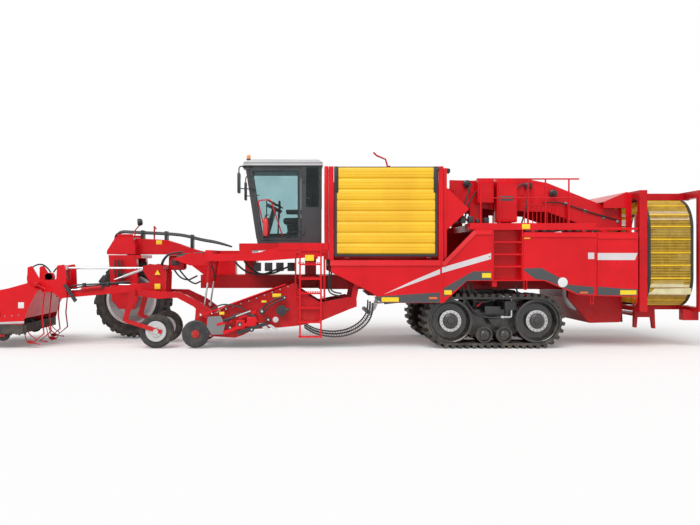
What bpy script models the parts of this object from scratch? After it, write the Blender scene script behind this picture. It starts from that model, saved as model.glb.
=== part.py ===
"""Self-propelled tracked potato harvester, built as separate closed solids.

Metres. The front faces -X, the machine's left side is -Y and +Z is up. The floor under the
tracks is Z = 0 and the middle of the machine's length is X = 0. Outlines are (x, z) points for
plates across Y, and (y, z) points for plates across X.
"""

import math

import bmesh
import bpy
from mathutils import Matrix, Vector

# Clearances
FIT = 0.0003
RUN_GAP = 0.006
SWING_GAP = 0.008

# Overall
HALF_WIDTH = 1.65
SKIN = 0.03
FRONT_END = -7.61

# Main frame
FRAME_LOW = 1.18
FRAME_TOP = 1.48
RAIL_Y = 0.48
RAIL_WIDTH = 0.12
FRAME_FRONT = -2.95
FRAME_JOIN = -0.30
FRONT_BOX_Y = (0.10, 1.12)

# Bunker
BUNKER_FRONT = -0.128
BUNKER_LENGTH = 2.343
BUNKER_REAR = BUNKER_FRONT + BUNKER_LENGTH
BUNKER_TOP = 3.70
POST_TOP = 3.73
BUNKER_WALL = 0.06
POST_WIDTH = 0.10
SILL = 1.86
SKIRT_TOP = 1.816
CONVEYOR_THICK = 0.11

# Rear body, measured from the bunker's rear
DECK_START = BUNKER_REAR + 0.54
DECK_LENGTH = 2.572
DECK_END = DECK_START + DECK_LENGTH
DECK_LOW = 2.43
DECK_TOP = 2.571
ALCOVE_FRONT = BUNKER_REAR + 1.009
ALCOVE_REAR = ALCOVE_FRONT + 0.613
MID_DOOR_REAR = ALCOVE_REAR + 1.51
REAR_DOOR_REAR = MID_DOOR_REAR + 0.84
ARCH_LOW = 0.939
ARCH_TOP = 1.388
RING_FRONT = REAR_DOOR_REAR + 0.03
RING_BELT_FRONT = RING_FRONT + 0.19
RING_BELT_WIDTH = 0.93
RING_REAR = RING_BELT_FRONT + RING_BELT_WIDTH + 0.09
RING_END = RING_REAR + 0.183
RING_LOW = 0.85
RING_TOP = 3.08
RING_CORNER = 0.62

# Crawler units
TRACK_WHEEL_R = 0.45
BELT_THICK = 0.045
LUG_HEIGHT = 0.066
LUG_PITCH = 0.145
TRACK_Z = TRACK_WHEEL_R + BELT_THICK + LUG_HEIGHT
TRACK_FRONT_X = 2.378
TRACK_BASE = 1.779
TRACK_REAR_X = TRACK_FRONT_X + TRACK_BASE
TRACK_MID_X = (TRACK_FRONT_X + TRACK_REAR_X) / 2
TRACK_WIDTH = 0.84
TRACK_OUTER_Y = HALF_WIDTH - SKIN - 0.02
TRACK_INNER_Y = TRACK_OUTER_Y - TRACK_WIDTH
ROLLER_R = 0.168
ROLLER_OFFSETS = (-0.20, 0.21)

# Front wheel, fork and gooseneck
WHEEL_X = -4.60
WHEEL_Y = 0.85
WHEEL_R = 0.905
WHEEL_WIDTH = 0.70
RIM_R = 0.58
YOKE_LOW = WHEEL_R * 2 + 0.04
YOKE_TOP = YOKE_LOW + 0.075
NECK_LOW = YOKE_TOP + 0.015
NECK_TOP = NECK_LOW + 0.39
LEG_GAP = 0.12
LEG_THICK = 0.23

# Cab
CAB_LEFT = -1.15
CAB_WIDTH = 1.70
CAB_RIGHT = CAB_LEFT + CAB_WIDTH
CAB_FRONT = -1.61
CAB_REAR = -0.26
CAB_LOW = 2.165
CAB_TOP = 3.80
CAB_LEAN = 0.25
CAB_WALL = 0.05
GLASS = 0.008
B_PILLAR = -0.64
ROOF_THICK = 0.13
DECK_EDGE = -HALF_WIDTH + 0.038

# Digging intake
INTAKE_LEFT = -HALF_WIDTH + 0.09
INTAKE_RIGHT = -0.02
INTAKE_PLATE = 0.03
INTAKE_PIVOT = (0.36, 0.93)
COULTER_R = 0.285
COULTER_HUB = (-2.853, 0.30)
DEPTH_R = 0.35
DEPTH_HUB = (-3.664, 0.354)
CYLINDER_TOP = (-2.55, 1.86)
CYLINDER_EYE = (-2.70, 0.834)
LIFT_Y = (-1.40, -0.18)
PIN_HALF = 0.04
BARREL_LENGTH = 0.52
BARREL_R = 0.036
ROD_R = 0.02

# Haulm topper
TOPPER_LEFT = -HALF_WIDTH + 0.04
TOPPER_RIGHT = 0.70
ARM_REAR = (-3.95, 1.25)
ARM_FRONT = (-5.70, 1.09)
LINK_REAR = (-3.94, 1.642)
LINK_FRONT = (-5.72, 1.642)
ARM_Y = (-1.12, -0.45)
ARM_WIDTH = 0.10
ARM_DEPTH = 0.15
LINK_Y = -0.75
ROTOR_AXIS = (-6.95, 0.72)
ROTOR_R = 0.37
TOPPER_WHEEL_HUB = (-6.83, 0.30)
TOPPER_WHEEL_R = 0.15

PALETTE = {
    # name: (red, green, blue), roughness, metallic
    "red_paint": ((0.74, 0.015, 0.022), 0.35, 0.0),
    "yellow_sheet": ((0.95, 0.52, 0.01), 0.4, 0.0),
    "yellow_web": ((0.85, 0.60, 0.04), 0.5, 0.0),
    "dark_steel": ((0.05, 0.05, 0.055), 0.5, 0.4),
    "black_rubber": ((0.02, 0.02, 0.02), 0.85, 0.0),
    "pale_rim": ((0.62, 0.63, 0.64), 0.4, 0.2),
    "bright_steel": ((0.6, 0.6, 0.6), 0.3, 0.9),
    "cab_roof_grey": ((0.78, 0.78, 0.76), 0.5, 0.0),
    "cab_trim": ((0.06, 0.06, 0.065), 0.6, 0.0),
    "cab_glass": ((0.35, 0.48, 0.48), 0.05, 0.0),
    "seat_cloth": ((0.06, 0.065, 0.07), 0.9, 0.0),
    "engine_grey": ((0.25, 0.26, 0.27), 0.6, 0.5),
}


# ---------------------------------------------------------------- tools


def start_scene():
    for item in list(bpy.data.objects):
        bpy.data.objects.remove(item)
    for name, hidden in (("potato_harvester", False), ("helpers", True)):
        group = bpy.data.collections.new(name)
        bpy.context.scene.collection.children.link(group)
        group.hide_render = hidden


def material(name):
    if name in bpy.data.materials:
        return bpy.data.materials[name]
    colour, roughness, metallic = PALETTE[name]
    made = bpy.data.materials.new(name)
    made.use_nodes = True
    shader = made.node_tree.nodes["Principled BSDF"]
    shader.inputs["Base Color"].default_value = (*colour, 1.0)
    shader.inputs["Roughness"].default_value = roughness
    shader.inputs["Metallic"].default_value = metallic
    made.diffuse_color = (*colour, 1.0)
    return made


def helper(mesh):
    made = bpy.data.objects.new("helper", mesh)
    bpy.data.collections["helpers"].objects.link(made)
    return made


def helper_from(shape):
    bmesh.ops.recalc_face_normals(shape, faces=shape.faces)
    mesh = bpy.data.meshes.new("helper")
    shape.to_mesh(mesh)
    shape.free()
    return helper(mesh)


def solid_mesh(source):
    """The evaluated mesh of a curve or of a mesh with modifiers, with its loose caps welded."""
    bpy.context.view_layer.update()
    evaluated = source.evaluated_get(bpy.context.evaluated_depsgraph_get())
    mesh = bpy.data.meshes.new_from_object(evaluated)
    mesh.transform(source.matrix_world)
    bpy.data.objects.remove(source)
    shape = bmesh.new()
    shape.from_mesh(mesh)
    bmesh.ops.remove_doubles(shape, verts=shape.verts, dist=1e-5)
    return helper_from(shape)


def box(x, y, z):
    """A block between two places along each axis."""
    shape = bmesh.new()
    bmesh.ops.create_cube(shape, size=1)
    for axis, (low, high) in enumerate((x, y, z)):
        for vertex in shape.verts:
            vertex.co[axis] = (low + high) / 2 + vertex.co[axis] * (high - low)
    return helper_from(shape)


def rod(start, end, radius, sides=12):
    start, end = Vector(start), Vector(end)
    along = end - start
    place = Matrix.Translation((start + end) / 2) @ along.to_track_quat("Z", "Y").to_matrix().to_4x4()
    shape = bmesh.new()
    bmesh.ops.create_cone(shape, cap_ends=True, segments=sides, radius1=radius,
                          radius2=radius, depth=along.length, matrix=place)
    return helper_from(shape)


def slab(outlines, span, across="Y"):
    """A flat plate from closed outlines; an outline inside another is a hole."""
    low, high = span
    curve = bpy.data.curves.new("outline", "CURVE")
    curve.dimensions = "2D"
    curve.fill_mode = "BOTH"
    curve.extrude = (high - low) / 2
    for outline in outlines:
        spline = curve.splines.new("POLY")
        spline.points.add(len(outline) - 1)
        for point, (u, v) in zip(spline.points, outline):
            point.co = (u, v, 0, 1)
        spline.use_cyclic_u = True
    plate = bpy.data.objects.new("outline", curve)
    bpy.data.collections["helpers"].objects.link(plate)
    middle = (low + high) / 2
    columns = {
        "Y": ((1, 0, 0), (0, 0, 1), (0, -1, 0), (0, middle, 0)),
        "X": ((0, 1, 0), (0, 0, 1), (1, 0, 0), (middle, 0, 0)),
        "Z": ((1, 0, 0), (0, 1, 0), (0, 0, 1), (0, 0, middle)),
    }[across]
    place = Matrix([(*column, 0) for column in columns]).transposed()
    place[3][3] = 1
    plate.matrix_world = place
    return solid_mesh(plate)


def plate(outline, y):
    return slab([outline], y)


def strut(start, end, depth, y):
    """A flat bar of a given depth from one (x, z) point to another."""
    run = Vector(end) - Vector(start)
    side = Vector((-run.y, run.x)).normalized() * depth / 2
    first, last = Vector(start), Vector(end)
    return plate([first + side, last + side, last - side, first - side], y)


def lathe(profile, centre, steps=32, closed=False):
    """Turns (place along Y, radius) points round an axis along Y through centre."""
    shape = bmesh.new()
    points = [shape.verts.new((radius, 0, -place)) for place, radius in profile]
    ends = zip(points, points[1:] + points[:1] if closed else points[1:])
    for first, second in ends:
        shape.edges.new((first, second))
    mesh = bpy.data.meshes.new("profile")
    shape.to_mesh(mesh)
    shape.free()
    turned = helper(mesh)
    screw = turned.modifiers.new("turn", "SCREW")
    screw.steps = steps
    screw.render_steps = steps
    screw.use_merge_vertices = True
    screw.merge_threshold = 0.0001
    turned.matrix_world = Matrix.Translation(centre) @ Matrix.Rotation(math.radians(90), 4, "X")
    return solid_mesh(turned)


def tube(points, radius, sides=1):
    curve = bpy.data.curves.new("tube", "CURVE")
    curve.dimensions = "3D"
    curve.bevel_depth = radius
    curve.bevel_resolution = sides
    curve.use_fill_caps = True
    spline = curve.splines.new("POLY")
    spline.points.add(len(points) - 1)
    for point, place in zip(spline.points, points):
        point.co = (*place, 1)
    made = bpy.data.objects.new("tube", curve)
    bpy.data.collections["helpers"].objects.link(made)
    return solid_mesh(made)


def arc(centre, radius, start, end, steps):
    """Points along an arc, angles in degrees, both ends included."""
    angles = (math.radians(start + (end - start) * step / steps) for step in range(steps + 1))
    return [(centre[0] + radius * math.cos(a), centre[1] + radius * math.sin(a)) for a in angles]


def boolean(target, operation, others):
    group = bpy.data.collections.new("operands")
    bpy.context.scene.collection.children.link(group)
    group.hide_render = True
    for other in others:
        group.objects.link(other)
    step = target.modifiers.new(operation.lower(), "BOOLEAN")
    step.operation = operation
    step.operand_type = "COLLECTION"
    step.collection = group
    step.solver = "EXACT"
    result = solid_mesh(target)
    for other in others:
        bpy.data.objects.remove(other)
    bpy.data.collections.remove(group)
    return result


def fused(pieces, cuts=()):
    whole = pieces[0]
    if len(pieces) > 1:
        whole = boolean(whole, "UNION", pieces[1:])
    if cuts:
        whole = boolean(whole, "DIFFERENCE", list(cuts))
    return whole


def node(name, finish, pieces, cuts=(), origin=(0, 0, 0)):
    """One named solid, joined from pieces, with its origin where it turns or slides."""
    whole = fused(pieces, cuts)
    mesh = whole.data
    mesh.transform(Matrix.Translation(-Vector(origin)))
    mesh.materials.clear()
    mesh.materials.append(material(finish))
    mesh.shade_smooth()
    mesh.set_sharp_from_angle(angle=math.radians(35))
    bpy.data.objects.remove(whole)
    made = bpy.data.objects.new(name, mesh)
    made.location = origin
    bpy.data.collections["potato_harvester"].objects.link(made)
    return made


def mirrored(source, name):
    """The same piece on the other side of the machine's middle plane."""
    mesh = source.data.copy()
    mesh.transform(Matrix.Scale(-1, 4, (0, 1, 0)))
    mesh.flip_normals()
    made = bpy.data.objects.new(name, mesh)
    made.location = (source.location.x, -source.location.y, source.location.z)
    bpy.data.collections["potato_harvester"].objects.link(made)
    return made


def both_sides(span):
    low, high = span
    return [(low, high), (-high, -low)]


# ---------------------------------------------------------------- frame


OUTRIGGER_WIDTH = 0.10
OUTRIGGER_TOP = ARCH_TOP - FIT
OUTRIGGER_LOW = OUTRIGGER_TOP - 0.12
OUTRIGGERS = (
    # (place along X, gap left to the skin)
    (0.40, FIT), (BUNKER_REAR - 0.20, FIT), (ALCOVE_FRONT - 0.01, FIT), (MID_DOOR_REAR - 0.06, SWING_GAP),
)
POST_X = (ALCOVE_FRONT - 0.01, MID_DOOR_REAR - 0.06)
DECK_POST_Y = 1.20
FRAME_END = RING_FRONT - 0.13


def main_frame():
    pieces = [box((FRAME_JOIN, FRAME_END), (y - RAIL_WIDTH / 2, y + RAIL_WIDTH / 2), (FRAME_LOW, FRAME_TOP))
              for y in (-RAIL_Y, RAIL_Y)]
    pieces.append(box((FRAME_FRONT, FRAME_JOIN + 0.02), FRONT_BOX_Y, (FRAME_LOW, FRAME_TOP)))
    pieces.append(box((FRAME_JOIN, FRAME_JOIN + 0.25), (-RAIL_Y - 0.06, FRONT_BOX_Y[1]),
                      (FRAME_LOW, FRAME_TOP)))
    pieces.append(box((FRAME_END - 0.12, FRAME_END), (-HALF_WIDTH + 0.25, HALF_WIDTH - 0.25),
                      (FRAME_LOW, FRAME_TOP)))
    for x, gap in OUTRIGGERS:
        reach = HALF_WIDTH - SKIN - gap
        pieces.append(box((x, x + OUTRIGGER_WIDTH), (-reach, reach), (OUTRIGGER_LOW, OUTRIGGER_TOP)))
    for x in POST_X:
        for y in (-DECK_POST_Y, DECK_POST_Y):
            pieces.append(box((x, x + OUTRIGGER_WIDTH), (y - 0.05, y + 0.05),
                              (OUTRIGGER_LOW + 0.02, DECK_LOW - FIT)))
    x, z = INTAKE_PIVOT
    ear = [(x - 0.06, z - 0.06), (x + 0.06, z - 0.06), (x + 0.14, OUTRIGGER_LOW + 0.02),
           (x + 0.02, OUTRIGGER_LOW + 0.02)]
    for face in (INTAKE_LEFT + INTAKE_PLATE + FIT, INTAKE_RIGHT + FIT):
        pieces.append(plate(ear, (face, face + 0.04)))
    node("main_frame", "red_paint", pieces)
    node("rear_axle_beam", "dark_steel", [
        box((TRACK_MID_X - 0.18, TRACK_MID_X + 0.18), (-0.74, 0.74), (0.62, FRAME_LOW - FIT)),
        box((TRACK_MID_X - 0.11, TRACK_MID_X + 0.11), (-GEAR_PLATE_Y[0] + FIT, GEAR_PLATE_Y[0] - FIT),
            (0.50, 0.74)),
    ], cuts=[box((TRACK_MID_X - 0.3, TRACK_MID_X + 0.3), (-0.36, 0.36), (0.80, FRAME_LOW - 0.08))])
    node("engine_block", "engine_grey", [
        box((ALCOVE_REAR + 0.12, MID_DOOR_REAR - 0.16), (-0.55, 0.95), (FRAME_TOP + FIT, DECK_LOW - 0.25)),
    ])


# ---------------------------------------------------------------- crawler units


GEAR_PLATE_Y = (TRACK_INNER_Y + 0.34, TRACK_INNER_Y + 0.46)
ARC_STEPS = 16


def stadium(radius):
    """The outline round both end wheels at one radius, anticlockwise from the lower front."""
    front = arc((TRACK_FRONT_X, TRACK_Z), radius, 90, 270, ARC_STEPS)
    rear = arc((TRACK_REAR_X, TRACK_Z), radius, -90, 90, ARC_STEPS)
    return front + rear


def toothed_outline(root, height):
    """The stadium outline with one lug every pitch, so that a lug row lies flat on the floor."""
    half_turn = math.pi * root
    length = 2 * (TRACK_BASE + half_turn)
    count = round(length / LUG_PITCH)
    pitch = length / count

    def at(distance, lift):
        distance = distance % length
        reach = root + lift
        if distance < TRACK_BASE:
            return (TRACK_FRONT_X + distance, TRACK_Z - reach)
        distance -= TRACK_BASE
        if distance < half_turn:
            angle = distance / root - math.pi / 2
            return (TRACK_REAR_X + reach * math.cos(angle), TRACK_Z + reach * math.sin(angle))
        distance -= half_turn
        if distance < TRACK_BASE:
            return (TRACK_REAR_X - distance, TRACK_Z + reach)
        angle = (distance - TRACK_BASE) / root + math.pi / 2
        return (TRACK_FRONT_X + reach * math.cos(angle), TRACK_Z + reach * math.sin(angle))

    points = []
    for lug in range(count):
        for share, lift in ((0.0, 0.0), (0.10, height), (0.52, height), (0.62, 0.0)):
            points.append(at((lug + share) * pitch, lift))
    return points


def crawler_units():
    width = (TRACK_INNER_Y, TRACK_OUTER_Y)
    loop = [toothed_outline(TRACK_WHEEL_R + BELT_THICK, LUG_HEIGHT), stadium(TRACK_WHEEL_R + FIT)]
    right_belt = node("track_belt_right", "black_rubber", [slab(loop, width)])
    mirrored(right_belt, "track_belt_left")

    reach = (TRACK_WIDTH - 0.08) / 2
    hub = 0.16
    profile = [(-reach, 0), (-reach, TRACK_WHEEL_R), (reach, TRACK_WHEEL_R), (reach, TRACK_WHEEL_R - 0.05),
               (reach - 0.16, TRACK_WHEEL_R - 0.10), (reach - 0.16, hub + 0.07), (reach - 0.04, hub + 0.04),
               (reach - 0.04, hub), (reach, hub - 0.02), (reach, 0)]
    middle = (TRACK_INNER_Y + TRACK_OUTER_Y) / 2
    pieces = [lathe(profile, (x, middle, TRACK_Z), 2 * ARC_STEPS) for x in (TRACK_FRONT_X, TRACK_REAR_X)]
    roller_z = TRACK_Z - TRACK_WHEEL_R - FIT + ROLLER_R + 2 * FIT
    for offset in ROLLER_OFFSETS:
        profile = [(-reach, 0), (-reach, ROLLER_R), (reach, ROLLER_R), (reach, ROLLER_R - 0.03),
                   (reach - 0.05, ROLLER_R - 0.05), (reach - 0.05, 0.07),
                   (reach - 0.01, 0.06), (reach - 0.01, 0)]
        pieces.append(lathe(profile, (TRACK_MID_X + offset, middle, roller_z), 20))
    pieces.append(plate([(TRACK_FRONT_X, TRACK_Z - 0.12), (TRACK_MID_X - 0.35, roller_z - 0.06),
                         (TRACK_MID_X + 0.35, roller_z - 0.06), (TRACK_REAR_X, TRACK_Z - 0.12),
                         (TRACK_REAR_X, TRACK_Z + 0.12), (TRACK_MID_X + 0.3, TRACK_Z + 0.22),
                         (TRACK_MID_X - 0.3, TRACK_Z + 0.22),
                         (TRACK_FRONT_X, TRACK_Z + 0.12)], GEAR_PLATE_Y))
    right_gear = node("track_gear_right", "dark_steel", pieces)
    mirrored(right_gear, "track_gear_left")


# ---------------------------------------------------------------- front wheel and steering


def front_wheel():
    centre = (WHEEL_X, WHEEL_Y, WHEEL_R)
    half = WHEEL_WIDTH / 2
    bead = half - 0.05
    tread = [(-bead, RIM_R + FIT), (-half + 0.01, RIM_R + 0.08), (-half, WHEEL_R - 0.14),
             (-half + 0.04, WHEEL_R - 0.03), (-half + 0.14, WHEEL_R),
             (half - 0.14, WHEEL_R), (half - 0.04, WHEEL_R - 0.03), (half, WHEEL_R - 0.14),
             (half - 0.01, RIM_R + 0.08), (bead, RIM_R + FIT)]
    node("front_tyre", "black_rubber", [lathe(tread, centre, 32, closed=True)], origin=centre)
    dish = [(-0.12, 0), (-0.12, 0.20), (-0.04, 0.24), (-0.02, 0.40), (-bead, RIM_R - 0.06), (-bead, RIM_R),
            (bead, RIM_R), (bead, RIM_R - 0.06), (0.02, 0.40), (0.04, 0.24), (0.12, 0.20), (0.12, 0)]
    node("front_rim", "pale_rim", [lathe(dish, centre, 32)], origin=centre)


def steering_fork():
    inner = WHEEL_WIDTH / 2 + LEG_GAP
    outer = inner + LEG_THICK
    leg = [(WHEEL_X - 0.44, YOKE_TOP), (WHEEL_X - 0.36, WHEEL_R), (WHEEL_X - 0.20, WHEEL_R - 0.20),
           (WHEEL_X + 0.14, WHEEL_R - 0.20), (WHEEL_X + 0.22, WHEEL_R), (WHEEL_X + 0.22, YOKE_TOP - 0.35),
           (WHEEL_X + 0.18, YOKE_TOP)]
    pieces = [box((WHEEL_X - 0.40, WHEEL_X + 0.30), (WHEEL_Y - outer, WHEEL_Y + outer),
                  (YOKE_LOW, YOKE_TOP))]
    for side in (-1, 1):
        face, back = WHEEL_Y + side * inner, WHEEL_Y + side * outer
        pieces.append(plate(leg, (min(face, back), max(face, back))))
        pieces.append(rod((WHEEL_X, face + side * 0.02, WHEEL_R),
                          (WHEEL_X, WHEEL_Y + side * (0.12 + FIT), WHEEL_R), 0.14, 24))
    pieces.append(rod((WHEEL_X, WHEEL_Y, YOKE_TOP - 0.02), (WHEEL_X, WHEEL_Y, NECK_LOW - FIT), 0.16, 24))
    node("steering_fork", "red_paint", pieces, origin=(WHEEL_X, WHEEL_Y, YOKE_TOP))


def gooseneck():
    outer = WHEEL_WIDTH / 2 + LEG_GAP + LEG_THICK
    head = [(WHEEL_X - 0.475, NECK_LOW), (WHEEL_X - 0.475, NECK_LOW + 0.08), (WHEEL_X - 0.28, NECK_TOP),
            (WHEEL_X + 0.10, NECK_TOP), (WHEEL_X + 0.17, NECK_LOW + 0.2), (WHEEL_X + 0.17, NECK_LOW)]
    swan = [(WHEEL_X - 0.05, NECK_TOP - 0.01), (-3.80, NECK_TOP - 0.056), (-3.52, 2.19), (-3.17, 2.064),
            (-2.60, 1.92), (-2.20, 1.80), (-2.20, FRAME_TOP + FIT), (FRAME_FRONT, FRAME_TOP + FIT),
            (-3.24, 1.70), (-3.61, 1.87), (-3.80, NECK_LOW), (WHEEL_X - 0.05, NECK_LOW)]
    node("gooseneck", "red_paint", [plate(head, (WHEEL_Y - outer, WHEEL_Y + outer)),
                                    plate(swan, (WHEEL_Y - 0.25, WHEEL_Y + 0.25))])


# ---------------------------------------------------------------- digging intake


def mirror_y(span):
    """The same Y span on the intake's other side."""
    total = INTAKE_LEFT + INTAKE_RIGHT
    return (total - span[1], total - span[0])


INTAKE_SIDE = [(-2.679, 0.383), (-2.618, 0.67), (-0.837, 1.345), (-0.714, 1.202), (-0.304, 0.944),
               (0.287, 1.057),
               (0.45, 1.0), (0.45, 0.86), (0.322, 0.814), (-0.283, 0.564), (-0.755, 0.467), (-1.125, 0.43),
               (-1.638, 0.40), (-1.9, 0.27), (-2.045, 0.22), (-2.536, 0.252)]
FRONT_BEAM = [(-4.20, 1.22), (-4.20, 1.10), (-3.66, 1.02), (-3.24, 1.04), (-2.90, 0.86), (-2.66, 0.62),
              (-2.52, 0.60), (-2.56, 0.80), (-2.80, 0.97), (-3.20, 1.16), (-3.63, 1.17)]
MAST = [(-4.02, 1.19), (-4.02, 1.31), (-3.86, 1.36), (-4.01, 1.60), (-4.01, 1.69), (-3.82, 1.731),
        (-3.60, 1.70),
        (-3.52, 1.55), (-3.54, 1.06), (-3.72, 1.04)]


def intake():
    left = (INTAKE_LEFT, INTAKE_LEFT + INTAKE_PLATE)
    beam = (INTAKE_LEFT, INTAKE_LEFT + 0.10)
    hub_x, hub_z = COULTER_HUB
    wheel_x, wheel_z = DEPTH_HUB
    pieces = []
    for span, beam_span in ((left, beam), (mirror_y(left), mirror_y(beam))):
        pieces.append(plate(INTAKE_SIDE, span))
        pieces.append(plate(FRONT_BEAM, beam_span))
        pieces.append(strut((hub_x, hub_z - 0.05), (-2.80, 0.93), 0.09, span))
    for x, z, radius in ((-0.80, 1.24, 0.05), (-1.05, 0.50, 0.04), (-2.50, 0.66, 0.05),
                         (-3.62, 1.10, 0.06)):
        pieces.append(rod((x, left[0] + 0.01, z), (x, INTAKE_RIGHT - 0.01, z), radius))
    for index, y in enumerate(ARM_Y):
        face = y - ARM_WIDTH / 2 - FIT if index == 0 else y + ARM_WIDTH / 2 + FIT
        back = face - 0.04 if index == 0 else face + 0.04
        pieces.append(plate(MAST, (min(face, back), max(face, back))))
    pieces.append(box((-3.99, -3.89), (LINK_Y + 0.03 + FIT, LINK_Y + 0.07), (1.59, 1.69)))
    pieces.append(rod((-3.62, ARM_Y[0] - 0.08, 1.64), (-3.62, ARM_Y[1] + 0.08, 1.64), 0.04))
    pieces.append(strut((-3.94, 1.64), (-3.60, 1.64), 0.07, (LINK_Y + 0.03 + FIT, LINK_Y + 0.07)))
    # Depth wheel arms: the near one outside its wheel, the far one outside its own.
    arm_out = (INTAKE_LEFT - 0.085, INTAKE_LEFT - 0.055)
    pieces.append(strut((-4.27, 0.575), (wheel_x + 0.12, wheel_z - 0.01), 0.085, arm_out))
    pieces.append(strut((-4.29, 0.56), (-4.12, 1.18), 0.11, arm_out))
    pieces.append(box((-4.20, -4.08), (arm_out[0], beam[1]), (1.11, 1.21)))
    arm_far = (INTAKE_RIGHT - 0.03, INTAKE_RIGHT)
    pieces.append(strut((-4.27, 0.575), (wheel_x + 0.12, wheel_z - 0.01), 0.085, arm_far))
    pieces.append(strut((-4.29, 0.56), (-4.12, 1.18), 0.11, arm_far))
    # Pins for the lift rods, between the beams and the rod eyes.
    for y, face in ((LIFT_Y[0], beam[1]), (LIFT_Y[1], mirror_y(beam)[0])):
        toward = 1 if y > face else -1
        pieces.append(rod((CYLINDER_EYE[0], face - toward * 0.02, CYLINDER_EYE[1]),
                          (CYLINDER_EYE[0], y - toward * (0.03 + FIT), CYLINDER_EYE[1]), 0.03))
        pieces.append(box((CYLINDER_EYE[0] - 0.05, CYLINDER_EYE[0] + 0.05),
                          tuple(sorted((face, face - toward * 0.03))),
                          (CYLINDER_EYE[1] - 0.12, CYLINDER_EYE[1] + 0.03)))
    origin = (INTAKE_PIVOT[0], INTAKE_LEFT, INTAKE_PIVOT[1])
    node("intake_frame", "red_paint", pieces, origin=origin)

    inside = (left[1] + FIT, mirror_y(left)[0] - FIT)
    node("intake_web", "dark_steel", [strut((-2.46, 0.36), (0.20, 0.92), 0.12, inside)], origin=origin)
    share = [(-3.02, 0.06), (-2.62, 0.22), (-2.48, 0.27), (-2.50, 0.295), (-2.64, 0.25), (-3.02, 0.075)]
    middle = (inside[0] + inside[1]) / 2
    notch = [(-3.1, middle - 0.16), (-2.75, middle - 0.12), (-2.75, middle + 0.12), (-3.1, middle + 0.16)]
    node("digging_shares", "bright_steel", [plate(share, inside)],
         cuts=[slab([notch], (0.0, 0.4), "Z")], origin=origin)

    for name, side, face in (("coulter_left", -1, left[0]), ("coulter_right", 1, INTAKE_RIGHT)):
        centre = (hub_x, face + side * 0.03, hub_z)
        disc = [(-side * (0.03 - FIT), 0), (-side * (0.03 - FIT), 0.06), (-0.008 * side, 0.07),
                (-0.008 * side, COULTER_R - 0.03), (0, COULTER_R), (0.008 * side, COULTER_R - 0.03),
                (0.008 * side, 0.05), (0.02 * side, 0.04), (0.02 * side, 0)]
        node(name, "dark_steel", [lathe(disc, centre, 24)], origin=centre)

    wheels = (("depth_wheel_left", arm_out[1] + 0.125, -1, arm_out[1]),
              ("depth_wheel_right", arm_far[0] - 0.125, 1, arm_far[0]))
    for name, y, side, face in wheels:
        centre = (wheel_x, y, wheel_z)
        reach = abs(face - y) - FIT
        tyre = [(reach * side, 0), (reach * side, 0.07), (0.06 * side, 0.08), (0.05 * side, 0.19),
                (0.09 * side, 0.23), (0.10 * side, DEPTH_R - 0.04), (0.06 * side, DEPTH_R),
                (-0.06 * side, DEPTH_R), (-0.10 * side, DEPTH_R - 0.04), (-0.09 * side, 0.23),
                (-0.05 * side, 0.19), (-0.06 * side, 0.08), (-0.06 * side, 0)]
        node(name, "black_rubber", [lathe(tyre, centre, 24)], origin=centre)


def lift_cylinders():
    top, eye = Vector(CYLINDER_TOP), Vector(CYLINDER_EYE)
    along = (eye - top).normalized()
    length = (eye - top).length
    for side, y in zip(("left", "right"), LIFT_Y):
        def at(distance):
            point = top + along * distance
            return (point.x, y, point.y)

        barrel = rod(at(0), at(BARREL_LENGTH), BARREL_R)
        eye_ring = rod((top.x, y - PIN_HALF, top.y), (top.x, y + PIN_HALF, top.y), BARREL_R + 0.006)
        bore = rod(at(BARREL_R + 0.014), at(BARREL_LENGTH + 0.1), ROD_R + 2 * FIT)
        node("lift_barrel_" + side, "red_paint", [barrel, eye_ring], cuts=[bore], origin=at(0))
        node("lift_rod_" + side, "bright_steel", [
            rod(at(BARREL_LENGTH - 0.04), at(length), ROD_R),
            rod((eye.x, y - 0.03, eye.y), (eye.x, y + 0.03, eye.y), 0.04)], origin=at(length))


# ---------------------------------------------------------------- haulm topper


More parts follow.
